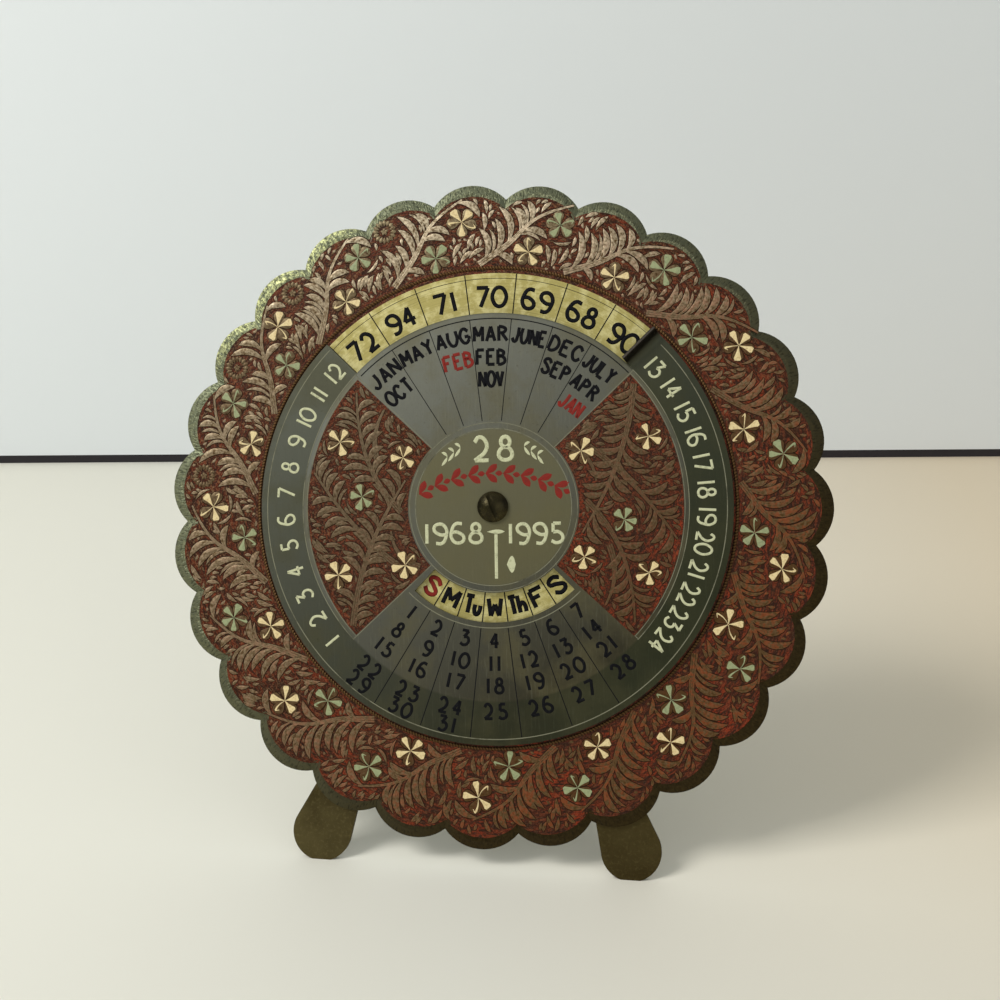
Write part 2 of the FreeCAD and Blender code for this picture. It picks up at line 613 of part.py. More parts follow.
# Hinge pin, peened over at both ends.
pin_frame = on_plate(0, -size("hinge_drop"), -hinge_back).multiply(
    Placement(Vector(-side_end, 0, 0), Rotation(Vector(0, 1, 0), 90)))
pin = new_body("hinge_pin")
pin_outline = new_sketch(pin, "pin_outline")
draw_circle(pin_outline, "pin", "sizes.hinge_pin_radius", size("hinge_pin_radius"))
add_pad(pin, "pin_rod", pin_outline, "2 * (" + half_leaf + ")")
for name, start, first, second in (
    ("near_head", "-sizes.hinge_pin_stand_out", "sizes.hinge_pin_radius",
     "sizes.hinge_pin_head_radius"),
    ("far_head", "2 * (" + half_leaf + ")", "sizes.hinge_pin_head_radius",
     "sizes.hinge_pin_radius"),
):
    head = pin.newObject("PartDesign::AdditiveCone", name)
    head.AttachmentSupport = [(plane(pin, "XY_Plane"), "")]
    head.MapMode = "FlatFace"
    head.setExpression("Radius1", first)
    head.setExpression("Radius2", second)
    head.setExpression("Height", "sizes.hinge_pin_stand_out")
    head.setExpression("AttachmentOffset.Base.z", start)
    pin.Tip = head
    doc.recompute()
pin.Placement = pin_frame

# Strut: a tapered strip with a barrel rolled at its head and a paddle at its foot. The sheet
# runs on above the barrel as a stop, which meets the fixed leaf when the strut is open.
strut_frame = on_plate(0, -size("hinge_drop"), -hinge_back).multiply(
    Placement(Vector(0, 0, 0), Rotation(Vector(1, 0, 0), lean + size("strut_angle"))))
opened = math.radians(lean + size("strut_angle"))
leaf_gap = hinge_back - size("hinge_leaf_thickness") - size("stop_clearance")
sheet_front = barrel - size("strut_thickness")
stop_length = (leaf_gap + sheet_front * math.cos(opened)) / math.sin(opened)
strut = new_body("strut_sheet")
strip = new_sketch(strut, "strut_outline")
draw_paddle(
    strip,
    ("paddle", "sizes.strut_paddle_radius", size("strut_paddle_radius")),
    ("neck", "sizes.strut_half_width", strut_half),
    ("length", "sizes.strut_paddle_drop", size("strut_paddle_drop")),
)
strip.setExpression("AttachmentOffset.Base.y", "-sizes.strut_paddle_drop")
strip.setExpression("AttachmentOffset.Base.z", "-sizes.hinge_barrel_radius")
add_pad(strut, "strut_strip", strip, "sizes.strut_thickness")
crop = strut.newObject("PartDesign::SubtractiveBox", "stop_edge")
crop.AttachmentSupport = [(plane(strut, "XY_Plane"), "")]
crop.MapMode = "FlatFace"
crop.setExpression("Length", "4 * sizes.strut_half_width")
crop.setExpression("Width", "4 * sizes.strut_half_width")
crop.setExpression("Height", "4 * sizes.hinge_barrel_radius")
crop.AttachmentOffset = Placement(
    Vector(-2 * strut_half, stop_length, -2 * barrel), Rotation())
strut.Tip = crop
doc.recompute()
rolled = strut.newObject("PartDesign::AdditiveCylinder", "strut_barrel")
rolled.AttachmentSupport = [(plane(strut, "YZ_Plane"), "")]
rolled.MapMode = "FlatFace"
rolled.setExpression("Radius", "sizes.hinge_barrel_radius")
rolled.setExpression("Height", "2 * sizes.strut_half_width")
rolled.setExpression("AttachmentOffset.Base.z", "-sizes.strut_half_width")
strut.Tip = rolled
doc.recompute()
strut_bore = strut.newObject("PartDesign::SubtractiveCylinder", "strut_pin_bore")
strut_bore.AttachmentSupport = [(plane(strut, "YZ_Plane"), "")]
strut_bore.MapMode = "FlatFace"
strut_bore.setExpression("Radius", "sizes.hinge_pin_radius + sizes.running_clearance")
strut_bore.setExpression("Height", "4 * sizes.strut_half_width")
strut_bore.setExpression("AttachmentOffset.Base.z", "-2 * sizes.strut_half_width")
strut.Tip = strut_bore
doc.recompute()
strut.Placement = strut_frame
strut_end = strut_frame.multVec(Vector(0, -size("strut_paddle_drop"), -barrel))
strut_block = floor_cutter("strut_floor", strut_end.x, strut_end.y)
strut_cut = doc.addObject("Part::Cut", "rear_strut")
strut_cut.Base = strut
strut_cut.Tool = strut_block
doc.recompute()

NODES = {
    "back_plate": plate,
    "dial": dial,
    "spacer_washer": spacer,
    "pivot_screw": screw,
    "back_washer": washer,
    "pivot_nut": nut,
    "left_foot": left_foot,
    "right_foot": right_foot,
    "hinge_leaf": leaf,
    "hinge_pin": pin,
    "rear_strut": strut_cut,
}
for label, node in NODES.items():
    node.Label = label

# The origin goes to the middle of the footprint's box, on the floor.
box = FreeCAD.BoundBox()
for node in NODES.values():
    box.add(node.Shape.optimalBoundingBox(False, False))
shift = Placement(Vector(-(box.XMin + box.XMax) / 2, -(box.YMin + box.YMax) / 2, 0), Rotation())
moved = set()
for node in NODES.values():
    for piece in ([node] if node.TypeId != "Part::Cut" or node is nut else [node.Base, node.Tool]):
        if piece.Name not in moved:
            piece.Placement = shift.multiply(piece.Placement)
            moved.add(piece.Name)
doc.recompute()

for item in doc.Objects:
    if "Invalid" in item.State or "Error" in item.State:
        raise RuntimeError(item.Name + " failed: " + str(item.State))
for label, node in NODES.items():
    if node.Shape.isNull() or not node.Shape.isValid() or len(node.Shape.Solids) != 1:
        raise RuntimeError(label + " is not one valid solid")

os.makedirs("parts", exist_ok=True)
for label, node in NODES.items():
    node.Shape.exportStep("parts/" + label + ".step")
    box = node.Shape.optimalBoundingBox(False, False)
    print("%-14s volume %9.2f  x %7.2f %7.2f  y %7.2f %7.2f  z %7.2f %7.2f" % (
        label, node.Shape.Volume, box.XMin, box.XMax, box.YMin, box.YMax, box.ZMin, box.ZMax))


def say(name, vector):
    print("%-20s %.4f %.4f %.4f" % (name, vector.x, vector.y, vector.z))


placed = shift.multiply(plate_frame)
say("pivot point", placed.multVec(Vector(0, 0, dial_back)))
say("pivot axis", placed.Rotation.multVec(Vector(0, 0, 1)))
say("hinge point", placed.multVec(Vector(0, -size("hinge_drop"), -hinge_back)))
say("plate up", placed.Rotation.multVec(Vector(0, 1, 0)))
for node in (left_foot, right_foot, strut_cut):
    for face in node.Shape.Faces:
        if face.BoundBox.ZMax < 1e-6:
            say(node.Label + " stands", face.CenterOfMass)
print("strut stop %.3f above the hinge axis" % stop_length)
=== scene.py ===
import json
import math
import random

import bmesh
import bpy
from mathutils import Euler, Matrix, Vector


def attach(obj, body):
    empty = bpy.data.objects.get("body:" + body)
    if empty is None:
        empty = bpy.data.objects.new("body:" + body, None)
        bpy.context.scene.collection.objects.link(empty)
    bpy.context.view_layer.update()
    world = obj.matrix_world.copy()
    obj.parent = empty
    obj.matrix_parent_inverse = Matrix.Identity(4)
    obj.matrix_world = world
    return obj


# Perpetual desk calendar of sheet brass. A notched and slotted dial turns on a screw in front
# of a scalloped plate with engraved, lacquered foliage. The plate leans back on two paddle
# feet and a hinged strut. Lengths are millimetres on the plate and metres in the room.

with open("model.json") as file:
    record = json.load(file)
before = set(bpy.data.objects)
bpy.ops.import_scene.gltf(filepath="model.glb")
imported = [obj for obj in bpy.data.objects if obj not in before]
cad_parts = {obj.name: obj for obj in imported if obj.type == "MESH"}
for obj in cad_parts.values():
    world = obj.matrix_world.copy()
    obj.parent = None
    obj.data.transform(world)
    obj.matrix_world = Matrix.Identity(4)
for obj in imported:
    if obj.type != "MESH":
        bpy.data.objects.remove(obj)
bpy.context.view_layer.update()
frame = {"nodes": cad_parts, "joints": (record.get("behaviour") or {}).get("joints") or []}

# The plate's own directions, read from the joint that the dial turns on: x to the right, y up
# the plate, z out of its front, with the origin on the back of the dial. The dial stands
# rolled a little to the left, and so do the rings that are printed on the plate.
MM = 0.001
ROLLED = math.radians(3.0)
turning = next(joint for joint in frame["joints"] if joint["name"] == "dial_turn")
pivot = Vector(turning["pos_m"])
out = Vector(turning["axis"]).normalized()
across = Vector((1, 0, 0))
plate_axes = Matrix((across, out.cross(across), out)).transposed().to_4x4()
dial_axes = plate_axes @ Matrix.Rotation(ROLLED, 4, "Z")
on_plate = Matrix.Translation(pivot) @ plate_axes @ Matrix.Scale(MM, 4)
on_dial = Matrix.Translation(pivot) @ dial_axes @ Matrix.Scale(MM, 4)

# Camera: a little right of the screw and above it, about 30 cm out, looking down at the dial.
# Its place and turns are told from the dial's own directions.
camera = bpy.data.objects.new("camera", bpy.data.cameras.new("camera"))
bpy.context.scene.collection.objects.link(camera)
camera.data.lens = 46.8
camera.data.sensor_width = 36.0
camera.data.clip_start = 0.01
TILT, TURN, ROLL = 1.705, 6.552, -0.773
looking = Euler([math.radians(angle) for angle in (TILT, TURN, ROLL)]).to_matrix().to_4x4()
RIGHTWARD, UPWARD, OUTWARD = 34.99, -7.66, 292.43
standing = Matrix.Translation(Vector((RIGHTWARD, UPWARD, OUTWARD)) * MM)
camera.matrix_world = Matrix.Translation(pivot) @ dial_axes @ standing @ looking
bpy.context.scene.camera = camera
bpy.context.scene.view_settings.view_transform = "Standard"


def srgb(red, green, blue):
    """A colour as it is seen on a screen, 0 to 255, as the shader wants it."""
    levels = [value / 255 for value in (red, green, blue)]
    return [v / 12.92 if v <= 0.04045 else ((v + 0.055) / 1.055) ** 2.4 for v in levels] + [1.0]


class Num:
    """A number that varies over a surface: an expression on it adds the shader's Math nodes."""

    def __init__(self, paint, socket):
        self.paint = paint
        self.socket = socket

    def math(self, operation, *values, clamp=False):
        node = self.paint.add(
            "Math", {"operation": operation, "use_clamp": clamp}, dict(enumerate(values)))
        return Num(self.paint, node.outputs[0])

    def __add__(self, other):
        return self.math("ADD", self, other)

    def __sub__(self, other):
        return self.math("SUBTRACT", self, other)

    def __rsub__(self, other):
        return self.math("SUBTRACT", other, self)

    def __mul__(self, other):
        return self.math("MULTIPLY", self, other)

    __radd__ = __add__

    def fade(self, start, end):
        """0 below start, 1 above end, straight between."""
        return self.math("MULTIPLY_ADD", self, 1 / (end - start), -start / (end - start),
                         clamp=True)


class Paint:
    """One finish: a Principled shader and what feeds it."""

    def __init__(self, name, roughness, metallic, specular=0.5, coat=0.0):
        self.material = bpy.data.materials.new(name)
        self.material.use_nodes = True
        self.tree = self.material.node_tree
        self.shader = self.tree.nodes["Principled BSDF"]
        self.set("Roughness", roughness)
        self.set("Metallic", metallic)
        self.set("Specular IOR Level", specular)
        if coat:
            self.set("Coat Weight", coat)
            self.set("Coat Roughness", 0.12)

    def feed(self, socket, value):
        if isinstance(value, Num):
            value = value.socket
        if isinstance(value, bpy.types.NodeSocket):
            self.tree.links.new(value, socket)
        else:
            socket.default_value = value

    def set(self, name, value):
        self.feed(self.shader.inputs[name], value)

    def add(self, kind, settings, inputs):
        node = self.tree.nodes.new("ShaderNode" + kind)
        for name, value in settings.items():
            setattr(node, name, value)
        for name, value in inputs.items():
            self.feed(node.inputs[name], value)
        return node

    def place(self, matrix):
        """Where a point of the surface lies in a piece's own millimetres."""
        coordinates = self.add("TexCoord", {}, {})
        where = self.add("Mapping", {"vector_type": "TEXTURE"}, {
            "Vector": coordinates.outputs["Object"],
            "Location": matrix.to_translation(),
            "Rotation": matrix.to_euler(),
            "Scale": matrix.to_scale(),
        })
        return where.outputs[0]

    def split(self, vector):
        node = self.add("SeparateXYZ", {}, {0: vector})
        return [Num(self, node.outputs[i]) for i in range(3)]

    def join(self, x, y, z):
        return self.add("CombineXYZ", {}, {0: x, 1: y, 2: z}).outputs[0]

    def noise(self, vector, scale, detail, roughness, twist=0.0):
        node = self.add("TexNoise", {}, {
            "Vector": vector, "Scale": scale, "Detail": detail, "Roughness": roughness,
            "Distortion": twist})
        return Num(self, node.outputs[0])

    def mix(self, factor, first, second):
        node = self.add("Mix", {"data_type": "RGBA"}, {0: factor, 6: first, 7: second})
        return node.outputs[2]

    def bump(self, height, depth):
        """Relief of that depth in millimetres, for the shader's Normal."""
        node = self.add("Bump", {}, {"Distance": depth * MM, "Height": height})
        self.set("Normal", node.outputs[0])


# Room: a warm white table top with a pale blue-grey wall behind it, and a thin dark strip where
# they meet, which is painted shade in the join. The sheets have one side only, so the back can
# be looked at.
def stage_sheet(name, width, depth, place, colour, roughness):
    bm = bmesh.new()
    bmesh.ops.create_grid(bm, x_segments=1, y_segments=1, size=0.5)
    size = Matrix.Diagonal((width, depth, 1, 1))
    bmesh.ops.transform(bm, verts=bm.verts, matrix=place @ size)
    mesh = bpy.data.meshes.new(name)
    bm.to_mesh(mesh)
    bm.free()
    sheet = bpy.data.objects.new(name, mesh)
    bpy.context.scene.collection.objects.link(sheet)
    paint = Paint(name, roughness, 0.0)
    paint.set("Base Color", srgb(*colour))
    behind = paint.add("NewGeometry", {}, {}).outputs["Backfacing"]
    clear = paint.add("BsdfTransparent", {}, {}).outputs[0]
    one_sided = paint.add("MixShader", {}, {0: behind, 1: paint.shader.outputs[0], 2: clear})
    paint.feed(paint.tree.nodes["Material Output"].inputs["Surface"], one_sided.outputs[0])
    mesh.materials.append(paint.material)
    return paint


WALL_BEHIND = 0.3004
WALL_TURN = math.radians(7.72)
wall_foot = Matrix.Translation((0, WALL_BEHIND, 0)) @ Matrix.Rotation(WALL_TURN, 4, "Z")
upright = Matrix.Rotation(math.radians(90), 4, "X")
TABLE_WHITE = (222, 219, 205)
table = stage_sheet("table_top", 6, 6, Matrix.Identity(4), TABLE_WHITE, 0.6)
x, y, _ = table.split(table.place(Matrix.Identity(4)))
# Painted shade: the table turns warmer and a little darker to the right of the plate and just
# behind it, where its warm shadow falls.
painted_warm_shade = x.fade(0.0, 0.17) * y.fade(-0.16, 0.02) * (1.0 - x.fade(0.3, 0.7))
table.set("Base Color", table.mix(painted_warm_shade, srgb(*TABLE_WHITE), srgb(224, 208, 180)))
stage_sheet("wall", 6, 3, wall_foot @ Matrix.Translation((0, 0, 1.503)) @ upright,
            (227, 231, 230), 0.8)
# The gap strip is painted shade: a dark sheet laid along the foot of the wall, where the join
# lies in shadow.
stage_sheet("gap", 6, 0.0036, wall_foot @ Matrix.Translation((0, -0.0005, 0.0018)) @ upright,
            (38, 34, 36), 0.9)

# Light: one broad window above and to the left, which catches the upper left of the bevelled
# rim, a weak fill from the right, and an even room.
for name, place, size, power in (
    ("window", (-0.62, -0.42, 0.86), 0.42, 8.2),
    ("fill", (0.75, -0.85, 0.55), 0.9, 1.2),
):
    lamp = bpy.data.objects.new(name, bpy.data.lights.new(name, "AREA"))
    bpy.context.scene.collection.objects.link(lamp)
    lamp.data.size = size
    lamp.data.energy = power
    lamp.location = place
    lamp.rotation_euler = (Vector(place) - pivot).to_track_quat("Z", "Y").to_euler()
world = bpy.data.worlds.new("room")
world.use_nodes = True
world.node_tree.nodes["Background"].inputs["Color"].default_value = (0.93, 0.97, 1.0, 1.0)
world.node_tree.nodes["Background"].inputs["Strength"].default_value = 0.46
bpy.context.scene.world = world

# Scalloped back plate: sheet brass sawn to 27 scallops, its edge bevelled and nicked with a
# graver. It is the CAD solid, aged to a grey green on the rim and left plain behind. Its front
# carries painted light and shade, lighter to the upper left and darker to the lower right, with
# painted glints on the upper left of the rim.
PLATE_FRONT = -0.52
PLATE_CENTRE_DROP = 1.7
SCALLOPS = 27
SCALLOP_RING = 65.15
SCALLOP_RADIUS = 10.65
BEVEL_WIDTH = 1.9
BEVEL_DROP = 1.0


def polar(paint, where):
    """Distance from the pivot and clockwise angle, over a surface of the plate."""
    x, y, _ = paint.split(where)
    squared = x * x + y * y
    return squared.math("SQRT", squared), x.math("ARCTAN2", x, y)


def aged_brass(name, dark, mid, light, roughness, scale=1.0):
    """Old brass: a cloudy patina with worn bright spots."""
    paint = Paint(name, roughness, 0.85)
    where = paint.place(on_plate)
    cloud = paint.noise(where, 0.055 * scale, 5.0, 0.6)
    spots = paint.noise(where, 1.3 * scale, 4.0, 0.65)
    colour = paint.mix(cloud.fade(0.38, 0.62), srgb(*dark), srgb(*mid))
    colour = paint.mix(spots.fade(0.52, 0.8) * 0.55, colour, srgb(*light))
    paint.set("Base Color", colour)
    paint.set("Roughness", roughness - 0.1 + spots * 0.2)
    return paint, where, cloud, spots


def dress(names, finish):
    """The finish, put on the CAD solids of those names."""
    for name in names:
        worn_by = frame["nodes"][name].data.materials
        worn_by.clear()
        worn_by.append(finish.material)


paint, where, cloud, spots = aged_brass(
    "aged_rim_brass_painted_light", (72, 68, 44), (112, 112, 84), (176, 172, 128), 0.42)
radius, angle = polar(paint, where)
x, y, z = paint.split(where)
nicks = paint.noise(paint.join(angle * 120.0, radius * 0.5, 0.0), 1.5, 2.0, 0.5)
on_rim = radius.fade(68.8, 70.4)
# Painted light and shade: the colour named worn here runs from dark at the lower right to light
# at the upper left, and the glint colour brightens on the same lit side.
worn = paint.mix((y - x).fade(-70.0, 85.0), srgb(50, 40, 20), srgb(112, 116, 92))
lit = (y - x).fade(-40.0, 80.0)
glint = paint.mix(lit, srgb(78, 66, 38), srgb(150, 148, 108))
rim_marks_and_painted_light = paint.mix(spots.fade(0.4, 0.75) * 0.45, worn, glint)
# Painted glints: bright spots laid only on the upper left of the rim, where the window's light
# catches it.
bright = spots.fade(0.42, 0.6) * (y - x).fade(95.0, 102.5) * 0.8
rim_marks_and_painted_light = paint.mix(bright, rim_marks_and_painted_light, srgb(222, 224, 158))
rim_marks_and_painted_light = paint.mix(nicks.fade(0.52, 0.66) * on_rim * 0.55, rim_marks_and_painted_light, srgb(30, 25, 13))
plain_back = paint.mix(cloud.fade(0.4, 0.62), srgb(78, 70, 44), srgb(108, 100, 68))
plain_back = paint.mix(spots.fade(0.52, 0.8) * 0.5, plain_back, srgb(136, 126, 88))
front = z.fade(PLATE_FRONT - 1.12, PLATE_FRONT - 1.02)
paint.set("Base Color", paint.mix(front, plain_back, rim_marks_and_painted_light))
paint.set("Specular IOR Level", 0.2)
cut = nicks.fade(0.45, 0.7) * on_rim * front * (lit * -0.8 - 0.2)
paint.bump(cut + spots * 0.15, 0.16)
dress(["back_plate"], paint)

# Ground of the plate: a ring of dark red lacquer inside the bare rim, over punched ticks and
# fine hatching. It follows the bevel where the scallops meet.
FIELD_INNER = 53.2
FIELD_FLAT = 68.0
LACQUER_RISE = 0.04


def finished(name, bm, place, finishes, body, smooth=True):
    """The mesh, put in its place, as a piece of the calendar that rides on a body."""
    bmesh.ops.transform(bm, verts=bm.verts, matrix=place)
    mesh = bpy.data.meshes.new(name)
    bm.to_mesh(mesh)
    bm.free()
    if smooth:
        mesh.shade_smooth()
    for finish in finishes:
        mesh.materials.append(finish.material)
    piece = bpy.data.objects.new(name, mesh)
    bpy.context.scene.collection.objects.link(piece)
    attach(piece, body)


def at(radius, clock):
    """A point by its distance from the pivot and its clockwise angle from the top line."""
    turned = math.radians(clock)
    return Vector((radius * math.sin(turned), radius * math.cos(turned), 0))


def scallop_share(clock):
    """Where an angle about the plate's centre lies across its scallop, -1 to 1."""
    step = 360 / SCALLOPS
    return 2 * (((clock - 180) / step + 0.5) % 1 - 0.5)


def border(clock):
    """The lacquer's edge, a flatter copy of the plate's outline, about the plate's centre."""
    return 69.9 + 3.1 * (1 - scallop_share(clock) ** 2) ** 0.9


def plate_face(point):
    """Height of the plate's front under a point, bevel included."""
    centred = Vector((point.x, point.y + PLATE_CENTRE_DROP, 0))
    clock = math.degrees(math.atan2(centred.x, centred.y))
    middle = at(SCALLOP_RING, clock - scallop_share(clock) * 180 / SCALLOPS)
    past = (centred - middle).length - (SCALLOP_RADIUS - BEVEL_WIDTH)
    if centred.length < FIELD_FLAT or past < 0:
        return PLATE_FRONT
    return PLATE_FRONT - BEVEL_DROP * past / BEVEL_WIDTH


def lacquer(name, deep, mid, glow):
    """Red lacquer worn over punched brass: hatching catches the light, the red lies between.
    Painted light and shade: the rubbed brown is laid thicker towards the upper left and the
    orange red spots towards the lower right.
    """
    paint = Paint(name, 0.42, 0.2, specular=0.15, coat=0.06)
    where = paint.place(on_dial)
    x, y, _ = paint.split(where)
    radius, angle = polar(paint, where)
    ticks = paint.noise(paint.join(angle * 24.0, radius * 1.1, 0.0), 1.25, 3.0, 0.6, 0.9)
    cloud = paint.noise(where, 0.07, 4.0, 0.6)
    colour = paint.mix(ticks.fade(0.42, 0.62), srgb(*deep), srgb(*mid))
    # Painted shade: towards the lower right, away from the light, more of the bare orange red
    # spots show.
    painted_shade_side = (x - y).fade(-60.0, 60.0)
    bare = cloud.fade(0.44, 0.64) * ticks.fade(0.44, 0.62) * (painted_shade_side * 0.75 + 0.2)
    colour = paint.mix(bare, colour, srgb(*glow))
    hatch = paint.noise(paint.join(angle * 95.0, radius * 2.0, 0.0), 1.0, 2.0, 0.5, 1.6)
    colour = paint.mix(hatch.fade(0.47, 0.4) * 0.75, colour, srgb(40, 20, 8))
    # The rubbed brown is partly real wear on the hatching and partly a painted highlight,
    # heavier towards the upper left.
    rubbed = hatch.fade(0.54, 0.64) * (0.6 - painted_shade_side * 0.45)
    colour = paint.mix(rubbed, colour, srgb(128, 102, 70))
    paint.set("Base Color", colour)
    paint.bump(hatch, 0.16)
    return paint


field_lacquer = lacquer("red_lacquer", (50, 24, 8), (102, 46, 22), (142, 46, 14))

bm = bmesh.new()
rim = bmesh.ops.create_circle(bm, segments=SCALLOPS * 12, radius=1.0)["verts"]
centre = Vector((0, -PLATE_CENTRE_DROP, 0))
for vert in rim:
    clock = math.degrees(math.atan2(vert.co.x, vert.co.y))
    vert.co = at(border(clock), clock) + centre
ring = bm.edges[:]
for share in (0.25, 0.5, 0.75, 1.0, None):
    made = bmesh.ops.extrude_edge_only(bm, edges=ring)["geom"]
    ring = [item for item in made if isinstance(item, bmesh.types.BMEdge)]
    ring = [edge for edge in ring if edge.is_boundary]
    for vert in {vert for edge in ring for vert in edge.verts}:
        flat = vert.co - centre
        clock = math.degrees(math.atan2(flat.x, flat.y))
        if share is None:
            vert.co = vert.co.normalized() * FIELD_INNER
        else:
            reach = border(clock) + (FIELD_FLAT - border(clock)) * share
            vert.co = flat.normalized() * reach + centre
for vert in bm.verts:
    vert.co.z = plate_face(vert.co) + LACQUER_RISE
bmesh.ops.recalc_face_normals(bm, faces=bm.faces)
if sum(face.normal.z for face in bm.faces) < 0:
    bmesh.ops.reverse_faces(bm, faces=bm.faces)
finished("plate_ground", bm, on_plate, [field_lacquer], "stand", False)

# Engraved foliage of the plate: seventeen fronds rise from the inner border and sweep
# clockwise to the rim between the painted flowers. Each leaf is a low relief with a dark
# graver line round it, the raised part rubbed back to brass.
random.seed(27)
LEAF_LINE = 0.16
CELL = 0.25
taken = set()


def cells(point, reach):
    steps = max(1, round(reach / CELL))
    x, y = round(point.x / CELL), round(point.y / CELL)
    return {(x + i, y + j) for i in range(-steps, steps + 1) for j in range(-steps, steps + 1)
            if i * i + j * j <= steps * steps}


def free(spine, keep_in):
    """Whether a leaf along those points stays on its ground and off what is already there."""
    return all(keep_in(p) for p in spine) and not any(cells(p, CELL) & taken for p in spine)


def claim(spine, reach):
    for point in spine:
        taken.update(cells(point, reach))


def facing(angle):
    return Vector((math.cos(angle), math.sin(angle), 0))


def left_of(ahead):
    return Vector((-ahead.y, ahead.x, 0))


def heading(path, u):
    return (path(min(1, u + 0.02)) - path(max(0, u - 0.02))).normalized()


def leaf(bm, path, half, base, height, steps=7, rows=4, line=LEAF_LINE):
    """A low leaf along path(u), u from 0 at its root to 1, with half(u) its half width."""
    made = bmesh.ops.create_grid(bm, x_segments=steps, y_segments=rows, size=0.5)["verts"]
    uv = bm.loops.layers.uv.verify()
    start, length = random.random() * 40, (path(1) - path(0)).length
    share = {}
    for vert in made:
        u, v = vert.co.x + 0.5, 2 * vert.co.y
        share[vert] = (u, v)
        here = path(u)
        side = left_of(heading(path, u))
        edge = abs(v) > 0.9 and rows > 2
        reach = half(u) * (math.copysign(1, v) if edge else v * (1.9 if rows > 2 else 1))
        spread = side * (reach + (math.copysign(line, v) if edge else 0))
        rise = height * (0.45 + 0.55 * math.sin(math.pi * u))
        lift = 0 if abs(v) > 0.9 else rise * (1 - 0.35 * abs(v))
        vert.co = Vector((here.x, here.y, base + lift)) + spread
    for face in {face for vert in made for face in vert.link_faces}:
        middle = sum(abs(share[vert][1]) for vert in face.verts) / 4
        face.material_index = 1 if rows > 2 and middle > 0.6 else 0
        for loop in face.loops:
            u, v = share[loop.vert]
            loop[uv].uv = (start + u * length, v)


def bent(root, knee, tip):
    return lambda u: root * (1 - u) ** 2 + knee * 2 * u * (1 - u) + tip * u * u


def leaf_half(width):
    return lambda u: 0.03 + width * max(0, math.sin(math.pi * u ** 1.25)) ** 0.75


def petal_half(width):
    return lambda u: 0.05 + width * max(0, math.sin(math.pi * u ** 1.6)) ** 0.6


def frond(bm, stem, base, left, right, gap, keep_in):
    """A bundle of stem lines with leaves to both sides, kept off what is already there."""
    for shift in (-0.42, 0.0, 0.42):
        def strand(u, shift=shift):
            return stem(u) + left_of(heading(stem, u)) * shift * (1.25 - u)
        leaf(bm, strand, lambda u: 0.2 * (1.15 - 0.6 * u), base, 0.09, steps=18, line=0.14)
    length = sum((stem((i + 1) / 20) - stem(i / 20)).length for i in range(20))
    claim([stem(i / 40) for i in range(41)], 0.7)
    count = int(length / gap)
    for i in range(count):
        for hand, reach in ((1, left), (-1, right)):
            u = (i + 0.55 + 0.2 * hand) / count
            if u > 0.985:
                continue
            root = stem(u)
            ahead = heading(stem, u)
            side = left_of(ahead) * hand
            slight = i % 2 == 1
            size = reach * random.uniform(0.88, 1.08) * (0.8 if slight else 1.0)
            for scale in (1.0, 0.85, 0.7, 0.55, 0.4):
                far = size * scale
                knee = root + ahead * far * 0.62 + side * far * 0.30
                tip = root + ahead * far * random.uniform(0.42, 0.58) + side * far * 0.92
                path = bent(root, knee, tip)
                if free([path(j / 12) for j in range(4, 13)], keep_in):
                    break
            else:
                continue
            width = (0.26 if slight else 0.5) + (0.12 if slight else 0.3) * min(1, far / 5.5)
            leaf(bm, path, leaf_half(width), base, 0.08 if slight else 0.12)
            claim([path(j / 12) for j in range(3, 13)], width * 0.8)


def scatter(inner, between, rings, start, step, count):
    """Spots a little off the points of a polar grid, where leaves are tried."""
    return [at(inner + between * ring + random.uniform(-0.3, 0.3),
               start + step * k + random.random())
            for ring in range(rings) for k in range(count)]


def fill_ticks(bm, base, spots, keep_in):
    """Short curled ticks where nothing else lies."""
    for spot in spots:
        angle = math.atan2(spot.y, spot.x) + math.radians(60) + random.uniform(-0.7, 0.7)
        ahead = facing(angle)
        far = random.uniform(0.7, 1.6)
        knee = spot + ahead * far * 0.5 + left_of(ahead) * far * 0.25
        path = bent(spot, knee, spot + ahead * far)
        spine = [path(j / 4) for j in range(5)]
        if free(spine, keep_in):
            leaf(bm, path, leaf_half(0.26), base, 0.13, steps=4, rows=2)
            claim(spine, 0.3)


def fill_leaves(bm, base, spots, keep_in):
    """Shorter leaves that follow the sweep of the fronds into the space left over."""
    for spot in spots:
        angle = math.atan2(spot.y, spot.x) - math.radians(20) + random.uniform(-0.5, 0.5)
        ahead = facing(angle)
        side = left_of(ahead) * random.choice((-1, 1))
        for far in (3.9, 3.0, 2.2, 1.6):
            path = bent(spot, spot + ahead * far * 0.6, spot + ahead * far + side * far * 0.35)
            spine = [path(j / 6) for j in range(7)]
            if keep_in(spot) and free(spine[1:], keep_in):
                leaf(bm, path, leaf_half(0.2 + 0.09 * far), base, 0.1, steps=5, line=0.13)
                claim(spine, 0.35)
                break


def wreath(bm, base, middle, radius, keep_in):
    """Curved blades round a flower."""
    first = random.uniform(0, 6)
    for i in range(6):
        def arc(u, i=i):
            angle = first + i * math.pi / 3 + u * 0.95
            return middle + facing(angle) * (radius + 0.5 * u)
        spine = [arc(j / 5) for j in range(6)]
        if free(spine, keep_in):
            leaf(bm, arc, leaf_half(0.34), base, 0.14, steps=6)
            claim(spine, 0.35)


